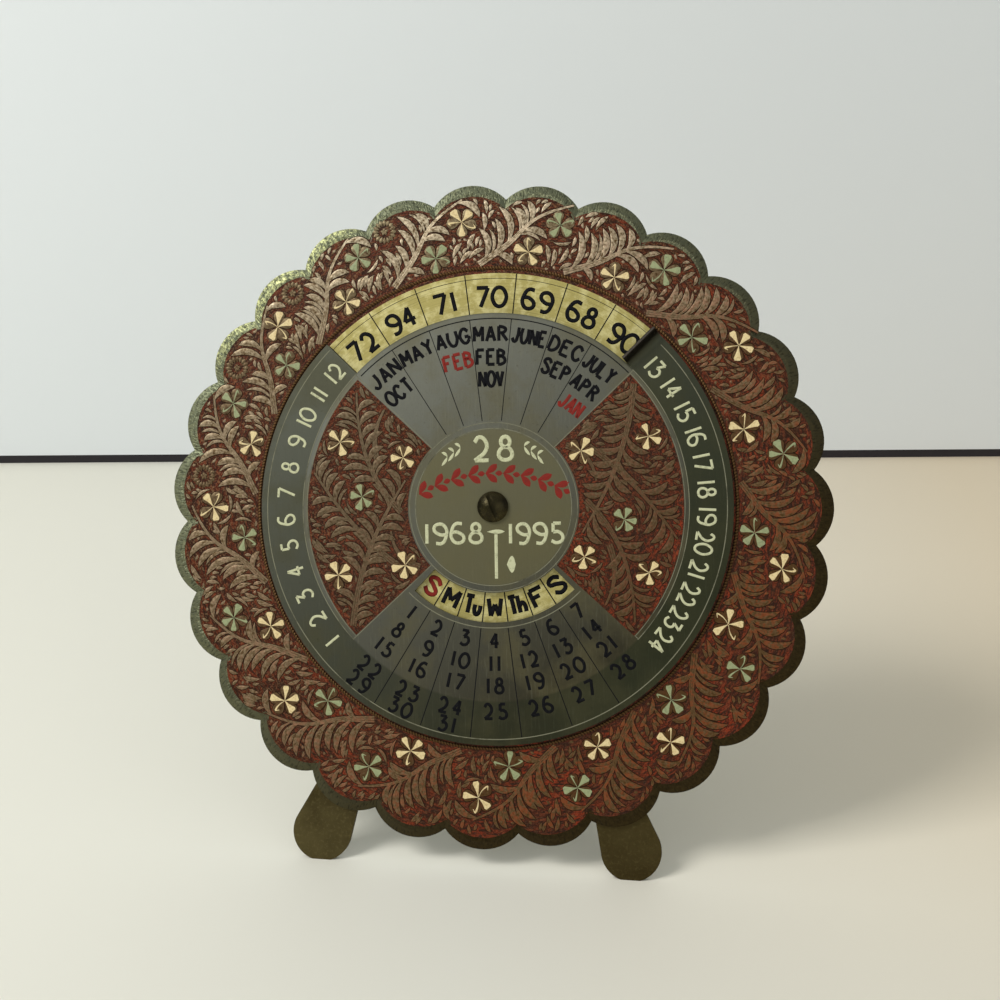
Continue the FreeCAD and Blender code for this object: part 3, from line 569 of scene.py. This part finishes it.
FLOWER_REACH = 3.55
OUTER_FLOWERS = (
    (14.2, "green"), (36.7, "green"), (57.7, "cream"), (80.6, "green"), (103.0, "cream"),
    (124.0, "green"), (143.7, "cream"), (164.0, "green"), (183.8, "cream"), (206.6, "green"),
    (228.2, "cream"), (248.0, "green"), (271.0, "cream"), (292.5, "green"), (310.5, "cream"),
    (332.1, "green"), (354.3, "cream"))
INNER_FLOWERS = (
    (8.6, "cream"), (28.7, "cream"), (50.5, "green"), (73.8, "cream"), (96.5, "green"),
    (117.3, "cream"), (138.0, "green"), (157.3, "cream"), (177.4, "green"), (199.7, "cream"),
    (221.6, "green"), (242.9, "cream"), (264.0, "green"), (285.4, "cream"), (305.1, "green"),
    (324.9, "cream"), (347.6, "green"))
ROSETTES = (277.0, 299.2, 317.4, 339.0)
plate_flowers = [(at(65.7, clock), colour) for clock, colour in OUTER_FLOWERS]
plate_flowers += [(at(58.6, clock), colour) for clock, colour in INNER_FLOWERS]
rosettes = [at(68.4, clock) for clock in ROSETTES]


def in_field(point):
    """On the lacquer, clear of the rope border and of the rim, which isn't rolled."""
    turned = Matrix.Rotation(ROLLED, 3, "Z") @ Vector((point.x, point.y, 0))
    turned.y += PLATE_CENTRE_DROP
    clock = math.degrees(math.atan2(turned.x, turned.y))
    return point.length > 55.4 and turned.length < border(clock) - 0.35


def relief_brass(name, dark, mid, light, warm):
    """Rubbed brass on the leaves: veins along each leaf, dark in the hollows. Painted light and
    shade: lighter and rubbed brighter towards the top and the upper left, darker with warm
    orange spots towards the lower right.
    """
    paint = Paint(name, 0.42, 0.45, specular=0.15)
    u, v, _ = paint.split(paint.add("UVMap", {}, {}).outputs[0])
    where = paint.place(on_dial)
    x, y, _ = paint.split(where)
    vein = paint.noise(paint.join(u * 1.1, v * 2.2, 0.0), 1.4, 3.0, 0.6)
    grain = paint.noise(where, 1.1, 3.0, 0.55)
    lit = (y - x).fade(-75.0, 95.0)
    colour = paint.mix(vein.fade(0.35, 0.65), srgb(*dark), srgb(*mid))
    # Painted shade: the leaves darken towards the lower right, away from the light.
    painted_leaf_shade = 1.0 - lit
    colour = paint.mix(painted_leaf_shade * 0.7, colour, srgb(76, 48, 9))
    # Painted highlight: the rubbed brass is brightened towards the top and the upper left,
    # partly real wear and partly painted shine.
    painted_leaf_shine = 0.08 + lit * 0.36 + y.fade(40.0, 68.0) * 0.8
    rubbed = (grain * 0.5 + vein * 0.5).fade(0.38, 0.66) * painted_leaf_shine
    colour = paint.mix(rubbed, colour, srgb(*light))
    # Warm orange spots, laid on the painted shade side.
    colour = paint.mix(painted_leaf_shade * grain.fade(0.46, 0.6) * 0.5, colour, srgb(*warm))
    paint.set("Base Color", colour)
    paint.bump(vein + grain * 0.5, 0.08)
    return paint


# The leaves' brass is painted lighter at the top and upper left and darker at the lower right,
# painted light and shade.
leaf_brass = relief_brass("rubbed_leaf_brass_painted_light", (82, 60, 34), (126, 104, 72), (222, 206, 174),
                          (146, 58, 16))
graver_line = Paint("graver_line", 0.7, 0.1, specular=0.1)
graver_line.set("Base Color", srgb(40, 22, 6))

bm = bmesh.new()
base = PLATE_FRONT + LACQUER_RISE
claim([spot for spot, _ in plate_flowers], FLOWER_REACH)
claim(rosettes, 2.9)
for clock, _ in INNER_FLOWERS:
    def stem(u, clock=clock):
        drift = 1.2 * math.sin(2 * math.pi * u)
        return at(55.6 + 15.2 * u, clock - 11.3 + 18.5 * u + drift)
    frond(bm, stem, base, 8.2, 6.0, 1.45, in_field)
for spot, _ in plate_flowers:
    wreath(bm, base, spot, FLOWER_REACH + 0.55, in_field)
spots = scatter(55.8, 0.8, 21, 0, 0.8, 450)
random.shuffle(spots)
fill_leaves(bm, base, spots, in_field)
fill_ticks(bm, base, scatter(55.8, 0.95, 17, 0, 0.6, 600), in_field)
finished("plate_foliage", bm, on_dial, [leaf_brass, graver_line], "stand")

# Painted flowers: five raised petals with a graver line round them. Three or four hold a
# broad stroke of cream or pale green enamel that runs to a point, the rest a thin wisp. Four
# bare rosettes stand at the upper left.
# The petals' brass carries the same painted light and shade as the leaves: lighter to the upper
# left, darker to the lower right.
petal_brass = relief_brass("petal_brass", (70, 50, 30), (104, 82, 56), (150, 136, 104),
                           (92, 50, 28))


def enamel(name, colour, shade):
    paint = Paint(name, 0.45, 0.0)
    where = paint.place(on_dial)
    worn = paint.noise(where, 1.9, 4.0, 0.7)
    paint.set("Base Color", paint.mix(worn.fade(0.45, 0.75), srgb(*colour), srgb(*shade)))
    paint.bump(worn, 0.05)
    return paint


cream = enamel("cream_enamel", (226, 204, 150), (186, 156, 104))
green = enamel("green_enamel", (150, 156, 112), (112, 120, 84))


def stroke_half(width):
    return lambda u: 0.05 + width * min(1.0, 1.2 * u) ** 1.3 * (0.75 if u > 0.99 else 1.0)


def flower(relief, strokes, middle, base, colour, size):
    """Five round petals in one mesh. Their enamel is in another: broad on three or four
    petals, and a thin curled wisp on the rest."""
    first = random.uniform(0, 2 * math.pi)
    broad = random.choice(((0, 2, 3), (0, 1, 3), (0, 2, 4), (0, 1, 2, 3)))
    for i in range(5):
        angle = first + i * 2 * math.pi / 5 + random.uniform(-0.16, 0.16)
        ahead = facing(angle)
        side = left_of(ahead) * random.uniform(-0.18, 0.18)
        near, far = middle + ahead * 0.3, middle + ahead * size
        leaf(relief, bent(near, (near + far) / 2 + side, far), petal_half(size * 0.36),
             base, 0.09, line=0.15)
        wide = random.uniform(0.62, 0.9) if i in broad else random.uniform(0.1, 0.2)
        sway = side if i in broad else side * 5
        end = middle + ahead * size * random.uniform(0.84, 0.98) + sway * 0.6
        before = len(strokes.faces)
        leaf(strokes, bent(middle + ahead * 0.1, (near + end) / 2 + sway, end),
             stroke_half(wide), base + 0.1, 0.06, steps=6, rows=2)
        if i not in broad:
            fork = end + (near - end).normalized() * 0.7 - sway.normalized() * 0.6
            leaf(strokes, bent(fork, (fork + end) / 2, end), stroke_half(0.09),
                 base + 0.1, 0.05, steps=3, rows=2)
        strokes.faces.ensure_lookup_table()
        for face in strokes.faces[before:]:
            face.material_index = 0 if colour == "cream" else 1


relief, strokes = bmesh.new(), bmesh.new()
for middle, colour in plate_flowers:
    flower(relief, strokes, middle, base, colour, random.uniform(3.3, 3.8))
for middle in rosettes:
    for i in range(16):
        ahead = facing(i * 2 * math.pi / 16)
        leaf(relief, bent(middle + ahead * 1.35, middle + ahead * 2.0, middle + ahead * 2.75),
             petal_half(0.42), base, 0.15, steps=4, line=0.06)
    for i in range(5):
        ahead = facing(0.4 + i * 2 * math.pi / 5)
        leaf(relief, bent(middle, middle + ahead * 0.4, middle + ahead * 0.85),
             petal_half(0.26), base, 0.14, steps=4, line=0.06)
finished("plate_flowers", relief, on_dial, [petal_brass, graver_line], "stand")
finished("plate_flower_enamel", strokes, on_dial, [cream, green], "stand")

# Rope border between the foliage and the dial: a raised half-round ring, cut across with
# slanting nicks.
ROPE_RADIUS = 54.6


def turned_ring(bm, profile, steps):
    """A closed profile of (radius, height) points spun round the pivot."""
    verts = [bm.verts.new((r, 0, z)) for r, z in profile]
    edges = [bm.edges.new((verts[i], verts[(i + 1) % len(verts)])) for i in range(len(verts))]
    bmesh.ops.spin(bm, geom=verts + edges, cent=(0, 0, 0), axis=(0, 0, 1),
                   angle=2 * math.pi, steps=steps, use_merge=True)


rope_brass = Paint("rope_brass", 0.45, 0.6, specular=0.15)
radius, angle = polar(rope_brass, rope_brass.place(on_dial))
twist = angle * 500.0 + radius * 3.0
slant = twist.math("SINE", twist)
nicked = rope_brass.mix(slant.fade(-0.8, 0.6), srgb(62, 40, 19), srgb(96, 70, 40))
rope_brass.set("Base Color", nicked)
rope_brass.bump(slant, 0.06)
bm = bmesh.new()
turned_ring(bm, [(ROPE_RADIUS + 0.42 * math.cos(i * math.pi / 5),
                  PLATE_FRONT + 0.3 * math.sin(i * math.pi / 5)) for i in range(6)], 240)
bmesh.ops.recalc_face_normals(bm, faces=bm.faces)
finished("rope_border", bm, on_dial, [rope_brass], "stand")

# Year ring: a yellow lacquered ring on the plate under the dial, ruled into 28 cells with a
# black year in each. Seven show in the dial's notch, and the ring stays when the dial turns.
PITCH = 360 / 28
YEAR_RING = (42.5, 53.4)
BAND_MIDDLE = 47.9
RING_RISE = 0.06
YEARS = (70, 71, 94, 72, 73, 74, 75, 92, 76, 77, 78, 79, 91, 80, 81, 82, 83, 95, 84, 85, 86,
         87, 93, 88, 89, 90, 68, 69)


def yellow_lacquer(name, base, dark, light):
    paint = Paint(name, 0.36, 0.45, coat=0.3)
    where = paint.place(on_dial)
    radius, angle = polar(paint, where)
    lines = paint.noise(paint.join(angle * 3.0, radius * 3.4, 0.0), 1.2, 3.0, 0.6)
    cloud = paint.noise(where, 0.35, 5.0, 0.65)
    colour = paint.mix(cloud.fade(0.46, 0.6), srgb(*base), srgb(*light))
    colour = paint.mix(lines.fade(0.52, 0.75) * 0.6, colour, srgb(*dark))
    paint.set("Base Color", colour)
    paint.bump(lines, 0.03)
    return paint


def ink(name, colour, worn, scale=1.6):
    paint = Paint(name, 0.62, 0.0, specular=0.12)
    thin = paint.noise(paint.place(on_dial), scale, 4.0, 0.7)
    paint.set("Base Color", paint.mix(thin.fade(0.52, 0.72), srgb(*colour), srgb(*worn)))
    return paint


year_lacquer = yellow_lacquer("yellow_year_lacquer", (182, 168, 96), (124, 110, 56),
                              (214, 202, 136))
black_ink = ink("black_ink", (6, 6, 9), (20, 19, 22))
red_ink = ink("red_ink", (128, 38, 30), (98, 44, 34))
white_line = ink("worn_white_line", (124, 122, 100), (60, 58, 42), 0.16)
cream_ink = ink("cream_ink", (196, 196, 158), (150, 150, 116))


def flat_ring(bm, inner, outer, low, high, steps=180):
    turned_ring(bm, [(inner, low), (outer, low), (outer, high), (inner, high)], steps)


def arc_line(bm, radius, width, low, high, start, end, steps):
    """A thin strip along a circle, between two clockwise angles."""
    first = math.radians(90 - start)
    corners = ((radius - width / 2, low), (radius + width / 2, low),
               (radius + width / 2, high), (radius - width / 2, high))
    verts = [bm.verts.new((r * math.cos(first), r * math.sin(first), z)) for r, z in corners]
    edges = [bm.edges.new((verts[i], verts[(i + 1) % 4])) for i in range(4)]
    made = bmesh.ops.spin(bm, geom=verts + edges, cent=(0, 0, 0), axis=(0, 0, 1),
                          angle=-math.radians(end - start), steps=steps, use_merge=False)
    last = [item for item in made["geom_last"] if isinstance(item, bmesh.types.BMEdge)]
    for loop in (edges, last):
        bmesh.ops.holes_fill(bm, edges=loop, sides=4)


def ray_line(bm, clock, inner, outer, width, low, high):
    """A thin straight strip along a radius."""
    made = bmesh.ops.create_cube(bm, size=1.0)["verts"]
    size = Matrix.Diagonal((width, outer - inner, high - low, 1))
    middle = Matrix.Translation((0, (inner + outer) / 2, (low + high) / 2))
    bmesh.ops.transform(bm, verts=made,
                        matrix=Matrix.Rotation(-math.radians(clock), 4, "Z") @ middle @ size)


# Strokes of each figure and letter on a grid 6 wide and 9 tall: - straight, ~ curved, o a
# closed loop. The engraver cut them with one round-nosed tool, so all are of one width.
STROKES = {
    "0": "o30 62 67 39 07 02", "1": "-30 39", "2": "~07 29 57 54 00,-00 60",
    "3": "-09 59 25,~25 55 62 30 01", "4": "-40 49 03 63", "5": "-59 19 15,~15 45 62 30 01",
    "6": "~59 29 06 02 30 62 35 05", "7": "-09 69 20", "8": "o35 57 39 17,o35 62 30 02",
    "9": "~10 40 63 67 39 07 34 64", "A": "-00 39 60,-13 53",
    "B": "-00 09,~09 48 57 35 05,~05 35 62 30 00",
    "C": "~67 39 06 03 30 62", "D": "-00 09,~09 48 64 30 00", "E": "-69 09 00 60,-05 45",
    "F": "-69 09 00,-05 45", "G": "~67 39 06 03 30 62,-62 64 34", "h": "-09 00,~03 35 53 50",
    "J": "~59 53 30 02", "L": "-09 00 60", "M": "-00 09 33 69 60", "N": "-00 09 60 69",
    "O": "o30 62 67 39 07 02", "P": "-00 09,~09 48 57 35 05",
    "R": "-00 09,~09 48 57 35 05,-25 60", "S": "~67 39 07 35 62 30 02", "T": "-09 69,-39 30",
    "U": "~09 03 30 63 69", "u": "~05 02 20 42 45", "V": "-09 30 69", "W": "-09 10 36 50 69",
    "Y": "-09 35 69,-35 30",
}


def lettering(bm, words, height, width, spot, turned, low, high, finish, stroke, slim=0.95,
              gap=2.9):
    """Figures or letters cut in strokes of one width, centred on a spot of the dial."""
    line = bpy.data.curves.new("letters", "CURVE")
    line.dimensions = "3D"
    line.resolution_u = 4
    line.bevel_depth = stroke / 2
    line.bevel_resolution = 1
    line.use_fill_caps = True
    wide = {"1": 1.2, "u": 4.0, "h": 5.0}
    total = sum(wide.get(letter, 6) for letter in words) + gap * (len(words) - 1)
    tall = (height - stroke) / 9
    slim = min(tall * slim, (width - stroke) / total)
    start = -total / 2
    for letter in words:
        for cut in STROKES[letter].split(","):
            points = [Vector((start + int(x) - (2.4 if letter == "1" else 0), int(y) - 4.5, 0))
                      for x, y in cut[1:].split()]
            runs = [points] if cut[0] != "-" else [
                points[i:i + 2] for i in range(len(points) - 1)]
            for run in runs:
                spline = line.splines.new("BEZIER")
                spline.bezier_points.add(len(run) - 1)
                spline.use_cyclic_u = cut[0] == "o"
                for knot, point in zip(spline.bezier_points, run):
                    knot.co = (point.x * slim, point.y * tall, 0)
                    knot.handle_left_type = knot.handle_right_type = (
                        "VECTOR" if cut[0] == "-" else "AUTO")
        start += wide.get(letter, 6) + gap
    holder = bpy.data.objects.new("letters", line)
    mesh = bpy.data.meshes.new_from_object(holder)
    mesh.transform(Matrix.Translation((spot.x, spot.y, low))
                   @ Matrix.Rotation(turned, 4, "Z")
                   @ Matrix.Diagonal((1, 1, (high - low) / (stroke / 2), 1)))
    for polygon in mesh.polygons:
        polygon.material_index = finish
    bm.from_mesh(mesh)
    bpy.data.objects.remove(holder)
    bpy.data.curves.remove(line)
    bpy.data.meshes.remove(mesh)


bm = bmesh.new()
flat_ring(bm, *YEAR_RING, PLATE_FRONT, PLATE_FRONT + RING_RISE)
bmesh.ops.recalc_face_normals(bm, faces=bm.faces)
finished("year_ring", bm, on_dial, [year_lacquer], "stand", False)
bm = bmesh.new()
printed, top = PLATE_FRONT + RING_RISE, PLATE_FRONT + RING_RISE + 0.04
for i, year in enumerate(YEARS):
    clock = -PITCH * i
    ray_line(bm, clock + PITCH / 2, 43.0, 53.35, 0.24, printed, top)
    lettering(bm, str(year), 5.3, 7.4, at(BAND_MIDDLE, clock), -math.radians(clock), printed,
              top, 0, 0.92)
flat_ring(bm, 52.15, 52.25, printed, top)
bmesh.ops.recalc_face_normals(bm, faces=bm.faces)
finished("year_figures", bm, on_dial, [black_ink], "stand", False)

# Weekday ring: the same yellow lacquer round the screw, seen through the dial's slot. Seven
# letters stand four times round it, so that any turn of the dial shows a whole week.
WEEKDAYS = ("S", "M", "Tu", "W", "Th", "F", "S")
WEEKDAY_RING = (18.2, 27.4)
bm = bmesh.new()
flat_ring(bm, *WEEKDAY_RING, PLATE_FRONT, PLATE_FRONT + RING_RISE, 120)
bmesh.ops.recalc_face_normals(bm, faces=bm.faces)
finished("weekday_ring", bm, on_dial, [year_lacquer], "stand", False)
bm = bmesh.new()
for i in range(28):
    clock = 180 + PITCH * (3 - i)
    ray_line(bm, clock + PITCH / 2, 18.6, 27.0, 0.26, printed, top)
    lettering(bm, WEEKDAYS[i % 7], 4.9, 4.5, at(22.7, clock),
              -math.radians(clock) + math.pi, printed, top, 1 if i % 7 == 0 else 0, 1.0, 1.1,
              1.8)
bmesh.ops.recalc_face_normals(bm, faces=bm.faces)
finished("weekday_letters", bm, on_dial, [black_ink, red_ink], "stand",
         False)

# Dial: one disc of sheet brass, rubbed with fine emery and gone grey green. It is the CAD
# solid, with the notch, the slot and the curled finger tab. Its colour carries painted light
# and shade: lighter to the upper left, darker to the lower right and on the right band, and
# near black on the curled tab.
DIAL_FRONT = 0.9
RIGHT_BAND = (46.8, 132.9)
LEFT_BAND = (227.6, 314.5)
FAN_OUTER = 42.8


def dial_finish(name):
    paint = Paint(name, 0.4, 0.75)
    where = paint.place(on_dial)
    x, y, z = paint.split(where)
    radius, _ = polar(paint, where)
    rubbed = paint.noise(paint.join(x * 1.6, y * 0.12, 0.0), 1.5, 4.0, 0.6)
    cloud = paint.noise(where, 0.06, 5.0, 0.62)
    spots = paint.noise(where, 0.9, 5.0, 0.7)
    # Painted light and shade: the dial is light at the upper left and dark at the lower right.
    painted_dial_light = (y - x * 0.65).fade(-50.0, 48.0)
    colour = paint.mix(painted_dial_light, srgb(58, 54, 37), srgb(124, 124, 111))
    colour = paint.mix(cloud.fade(0.44, 0.6) * 0.5, colour, srgb(104, 97, 66))
    colour = paint.mix(spots.fade(0.6, 0.8) * 0.6, colour, srgb(50, 45, 30))
    colour = paint.mix(rubbed.fade(0.55, 0.8) * 0.3, colour, srgb(138, 136, 112))
    # The side bands are a darker green of their own, painted darker still towards the right as
    # shade.
    in_band = radius.fade(43.6, 44.1)
    colour = paint.mix(in_band * (0.5 + x.fade(5.0, 45.0) * 0.25), colour, srgb(44, 49, 28))
    middle = 1.0 - radius.fade(17.4, 18.0)
    colour = paint.mix(middle * 0.65, colour, srgb(114, 108, 74))
    # Painted shade: the curled tab turns near black as it rises from the dial, its face turned
    # away from the light.
    curled = z.fade(1.0, 2.2)
    colour = paint.mix(curled, colour, srgb(24, 18, 8))
    paint.set("Base Color", colour)
    paint.set("Roughness", 0.34 + spots * 0.16)
    paint.bump(rubbed, 0.02)
    return paint


dress(["dial"], dial_finish("grey_green_dial_brass"))

# Ruled lines of the dial: scribed circles filled white, and the black rays of the month fan
# above and the date fan below.
bm = bmesh.new()
low, high = DIAL_FRONT - 0.01, DIAL_FRONT + 0.02
arc_line(bm, 52.3, 0.2, low, high, 47.0, 314.5, 150)
flat_ring(bm, 17.7, 17.86, low, high, 120)
flat_ring(bm, 19.05, 19.2, low, high, 120)
for start, end in (RIGHT_BAND, LEFT_BAND):
    arc_line(bm, 43.95, 0.18, low, high, start - 0.3, end + 0.3, 60)
    arc_line(bm, 43.0, 0.14, low, high, start, end, 60)
for clock in RIGHT_BAND + LEFT_BAND:
    ray_line(bm, clock, 19.3, 43.9, 0.16, low, high)
arc_line(bm, 27.3, 0.2, low, high, 134.5, 225.5, 60)
for face in bm.faces:
    face.material_index = 1
arc_line(bm, FAN_OUTER, 0.24, low, high, -44.6, 46.4, 60)
for i in range(6):
    clock = PITCH * (i - 2.5)
    ray_line(bm, clock, 19.6, FAN_OUTER, 0.17, low, high)
    ray_line(bm, 180 + clock, 27.4, 52.1, 0.2, low, high)
bmesh.ops.recalc_face_normals(bm, faces=bm.faces)
finished("dial_ruling", bm, on_dial, [black_ink, white_line], "dial", False)

# Month names and dates, stamped and filled black, with the leap-year months red. A column of
# the fan above holds up to three months, and a column of the fan below four or five dates.
MONTH_ROWS = (39.3, 34.0, 29.0)
MONTHS = (("JAN", "OCT"), ("MAY",), ("AUG", "*FEB"), ("MAR", "FEB", "NOV"), ("JUNE",),
          ("DEC", "SEP"), ("JULY", "APR", "*JAN"))
DATE_ROWS = (30.2, 35.3, 40.3, 46.0, 50.1)
bm = bmesh.new()
low, high = DIAL_FRONT - 0.01, DIAL_FRONT + 0.03
for i, column in enumerate(MONTHS):
    clock = PITCH * (i - 3)
    for row, month in zip(MONTH_ROWS, column):
        lettering(bm, month.strip("*"), 4.2, 8.4 * row / 39.3, at(row, clock),
                  -math.radians(clock), low, high, 1 if "*" in month else 0, 0.88)
for day in range(1, 32):
    clock = 180 + PITCH * (3 - (day - 1) % 7)
    lettering(bm, str(day), 4.1, 6.2, at(DATE_ROWS[(day - 1) // 7], clock),
              -math.radians(clock) + math.pi, low, high, 0, 0.82, 0.8, 5.0)
bmesh.ops.recalc_face_normals(bm, faces=bm.faces)
finished("dial_months_dates", bm, on_dial, [black_ink, red_ink], "dial", False)

# Side bands and the middle of the dial: plain cream figures. A leaf garland in dark red, small
# cream sprigs, a stem and a lozenge stand round the screw.
bm = bmesh.new()
for first, (start, end) in ((1, LEFT_BAND), (13, RIGHT_BAND)):
    for i in range(12):
        clock = start + (i + 0.5) * (end - start) / 12
        lettering(bm, str(first + i), 4.5, 5.2, at(BAND_MIDDLE, clock), -math.radians(clock),
                  low, high, 0, 0.68, 0.8)
lettering(bm, "28", 6.4, 9.6, Vector((0.3, 13.2, 0)), 0, low, high, 0, 1.08, 1.0, 4.5)
lettering(bm, "1968", 5.3, 14.2, Vector((-9.0, -5.9, 0)), 0, low, high, 0, 0.92)
lettering(bm, "1995", 5.3, 13.0, Vector((9.7, -6.1, 0)), 0, low, high, 0, 0.92)
for side in (-1, 1):
    for i in range(3):
        root = Vector((side * (7.3 + 1.5 * i), 13.5 - 1.0 * i, 0))
        for hand in (-1, 1):
            tip = root + Vector((side * 1.3, hand * 1.5 - 0.5, 0))
            knee = root + Vector((side * 0.3, hand * 0.9, 0))
            leaf(bm, bent(root, knee, tip), leaf_half(0.3), low + 0.01, 0.05, 5, 2)
root = Vector((0.6, -6.2, 0))
leaf(bm, bent(root, root + Vector((0, -5, 0)), root + Vector((0, -10, 0))),
     lambda u: 0.36, low + 0.01, 0.05, 5, 2)
for x, y, reach, half in ((0.6, -5.6, 2.0, 0.45), (4.0, -13.0, 1.0, 1.9)):
    middle = Vector((x, y, 0))
    across_it = Vector((reach, 0, 0))
    leaf(bm, bent(middle - across_it, middle, middle + across_it), leaf_half(half),
         low + 0.01, 0.05, 6, 2)
cream_faces = len(bm.faces)
for i in range(-4, 5):
    turned = i * 0.118
    spot = Vector((34 * math.sin(turned), 34 * math.cos(turned) - 26.4, 0))
    ahead = Vector((math.cos(turned), -math.sin(turned), 0))
    aside = Vector((math.sin(turned), math.cos(turned), 0))
    for hand in (-1, 1):
        leaf(bm, bent(spot - ahead * 1.6, spot + aside * hand * 0.9, spot + ahead * 1.0
                      + aside * hand * 2.1), leaf_half(0.75), low + 0.01, 0.05, 6, 2)
    leaf(bm, bent(spot + ahead * 0.6, spot + ahead * 1.3, spot + ahead * 2.3),
         leaf_half(0.6), low + 0.01, 0.05, 4, 2)
bm.faces.ensure_lookup_table()
for face in bm.faces[cream_faces:]:
    face.material_index = 1
bmesh.ops.recalc_face_normals(bm, faces=bm.faces)
finished("dial_cream_figures", bm, on_dial, [cream_ink, red_ink], "dial", False)

# Side panels of the dial: the same lacquered ground and engraved foliage, with five sprays and
# five painted flowers to a panel.
PANEL_INNER = 19.5
PANEL_FLOWERS = {
    LEFT_BAND[0]: ((38.8, 247.2, "cream"), (38.3, 293.7, "cream"), (30.2, 275.3, "green"),
                   (24.0, 237.4, "cream"), (23.5, 299.4, "cream")),
    RIGHT_BAND[0]: ((38.3, 66.6, "cream"), (38.0, 113.6, "cream"), (29.7, 96.4, "green"),
                    (23.5, 58.5, "cream"), (23.5, 119.4, "cream")),
}
PANEL_SPAN = 86.5
bm = bmesh.new()
ground = DIAL_FRONT + 0.03
for start in PANEL_FLOWERS:
    arc_line(bm, (PANEL_INNER + FAN_OUTER) / 2, FAN_OUTER - PANEL_INNER, DIAL_FRONT - 0.01,
             ground, start + 0.3, start + PANEL_SPAN - 0.2, 48)
bmesh.ops.recalc_face_normals(bm, faces=bm.faces)
finished("panel_ground", bm, on_dial, [field_lacquer], "dial", False)

leaves, relief, strokes = bmesh.new(), bmesh.new(), bmesh.new()
SPRAYS = (
    ((42.0, 3.0), (33.0, 22.0), (25.5, 38.0), (21.0, 60.0)),
    ((25.5, 12.0), (30.0, 27.0), (35.5, 42.0), (42.0, 54.0)),
    ((21.0, 40.0), (28.0, 54.0), (34.0, 66.0), (41.0, 83.0)),
    ((27.5, 62.0), (31.5, 70.0), (33.0, 78.0), (33.5, 85.0)),
    ((21.5, 4.0), (24.0, 12.0), (25.0, 20.0), (24.0, 30.0)),
)
for start, flowers in PANEL_FLOWERS.items():
    taken.clear()

    def in_panel(point, start=start):
        clock = math.degrees(math.atan2(point.x, point.y)) % 360 - start
        edge = math.degrees(0.6 / point.length)
        return (PANEL_INNER + 0.5 < point.length < FAN_OUTER - 0.4
                and 0.3 + edge < clock < PANEL_SPAN - edge)

    for radius, clock, colour in flowers:
        claim([at(radius, clock)], 3.3)
        flower(relief, strokes, at(radius, clock), ground, colour, random.uniform(3.0, 3.4))
    for spray in SPRAYS:
        points = [at(radius, start + clock) for radius, clock in spray]

        def stem(u, points=points):
            a, b, c, d = points
            w = 1 - u
            return a * w ** 3 + b * 3 * w * w * u + c * 3 * w * u * u + d * u ** 3
        frond(leaves, stem, ground, 6.2, 5.6, 1.4, in_panel)
    for radius, clock, _ in flowers:
        wreath(leaves, ground, at(radius, clock), 3.7, in_panel)
    spots = scatter(20, 0.7, 33, start, 1.3, 66)
    random.shuffle(spots)
    fill_leaves(leaves, ground, spots, in_panel)
    fill_ticks(leaves, ground, scatter(19.9, 0.8, 29, start, 1.6, 55), in_panel)
# The panel leaves' brass carries the same painted light and shade as the plate's leaves.
panel_brass = relief_brass("rubbed_panel_brass_painted_light", (74, 56, 38), (112, 96, 72), (170, 158, 128),
                           (118, 56, 34))
finished("panel_foliage", leaves, on_dial, [panel_brass, graver_line], "dial")
finished("panel_flowers", relief, on_dial, [petal_brass, graver_line], "dial")
finished("panel_flower_enamel", strokes, on_dial, [cream, green], "dial")

# Screw, spacer, washer and nut: turned brass gone dark, with worn bright spots. They hold the
# dial and stand still with the plate.
paint, _, _, spots = aged_brass(
    "dark_screw_brass", (30, 25, 11), (56, 49, 26), (124, 116, 74), 0.22, scale=4.0)
paint.bump(spots, 0.05)
dress(["pivot_screw", "spacer_washer", "back_washer", "pivot_nut"], paint)

# Paddle feet and strut: strips of sheet brass with a round end, painted a little darker on the
# right as shade. The feet are soldered to the back of the plate, and the strut swings between
# them.
paint, where, _, spots = aged_brass(
    "olive_foot_brass", (66, 56, 28), (90, 80, 47), (124, 112, 70), 0.5)
across_plate = paint.split(where)[0]
toned = paint.shader.inputs["Base Color"].links[0].from_socket
# Painted shade: darker towards the right, away from the light.
shaded = across_plate.fade(0.0, 30.0) * 0.4
paint.set("Base Color", paint.mix(shaded, toned, srgb(58, 44, 8)))
paint.bump(spots, 0.08)
dress(["left_foot", "right_foot", "rear_strut"], paint)

# Hinge: a folded leaf soldered to the back of the plate and a peened pin, which the strut
# swings on.
paint, _, _, spots = aged_brass(
    "hinge_brass", (66, 58, 34), (104, 92, 58), (152, 138, 92), 0.4, scale=2.0)
paint.bump(spots, 0.06)
dress(["hinge_leaf", "hinge_pin"], paint)
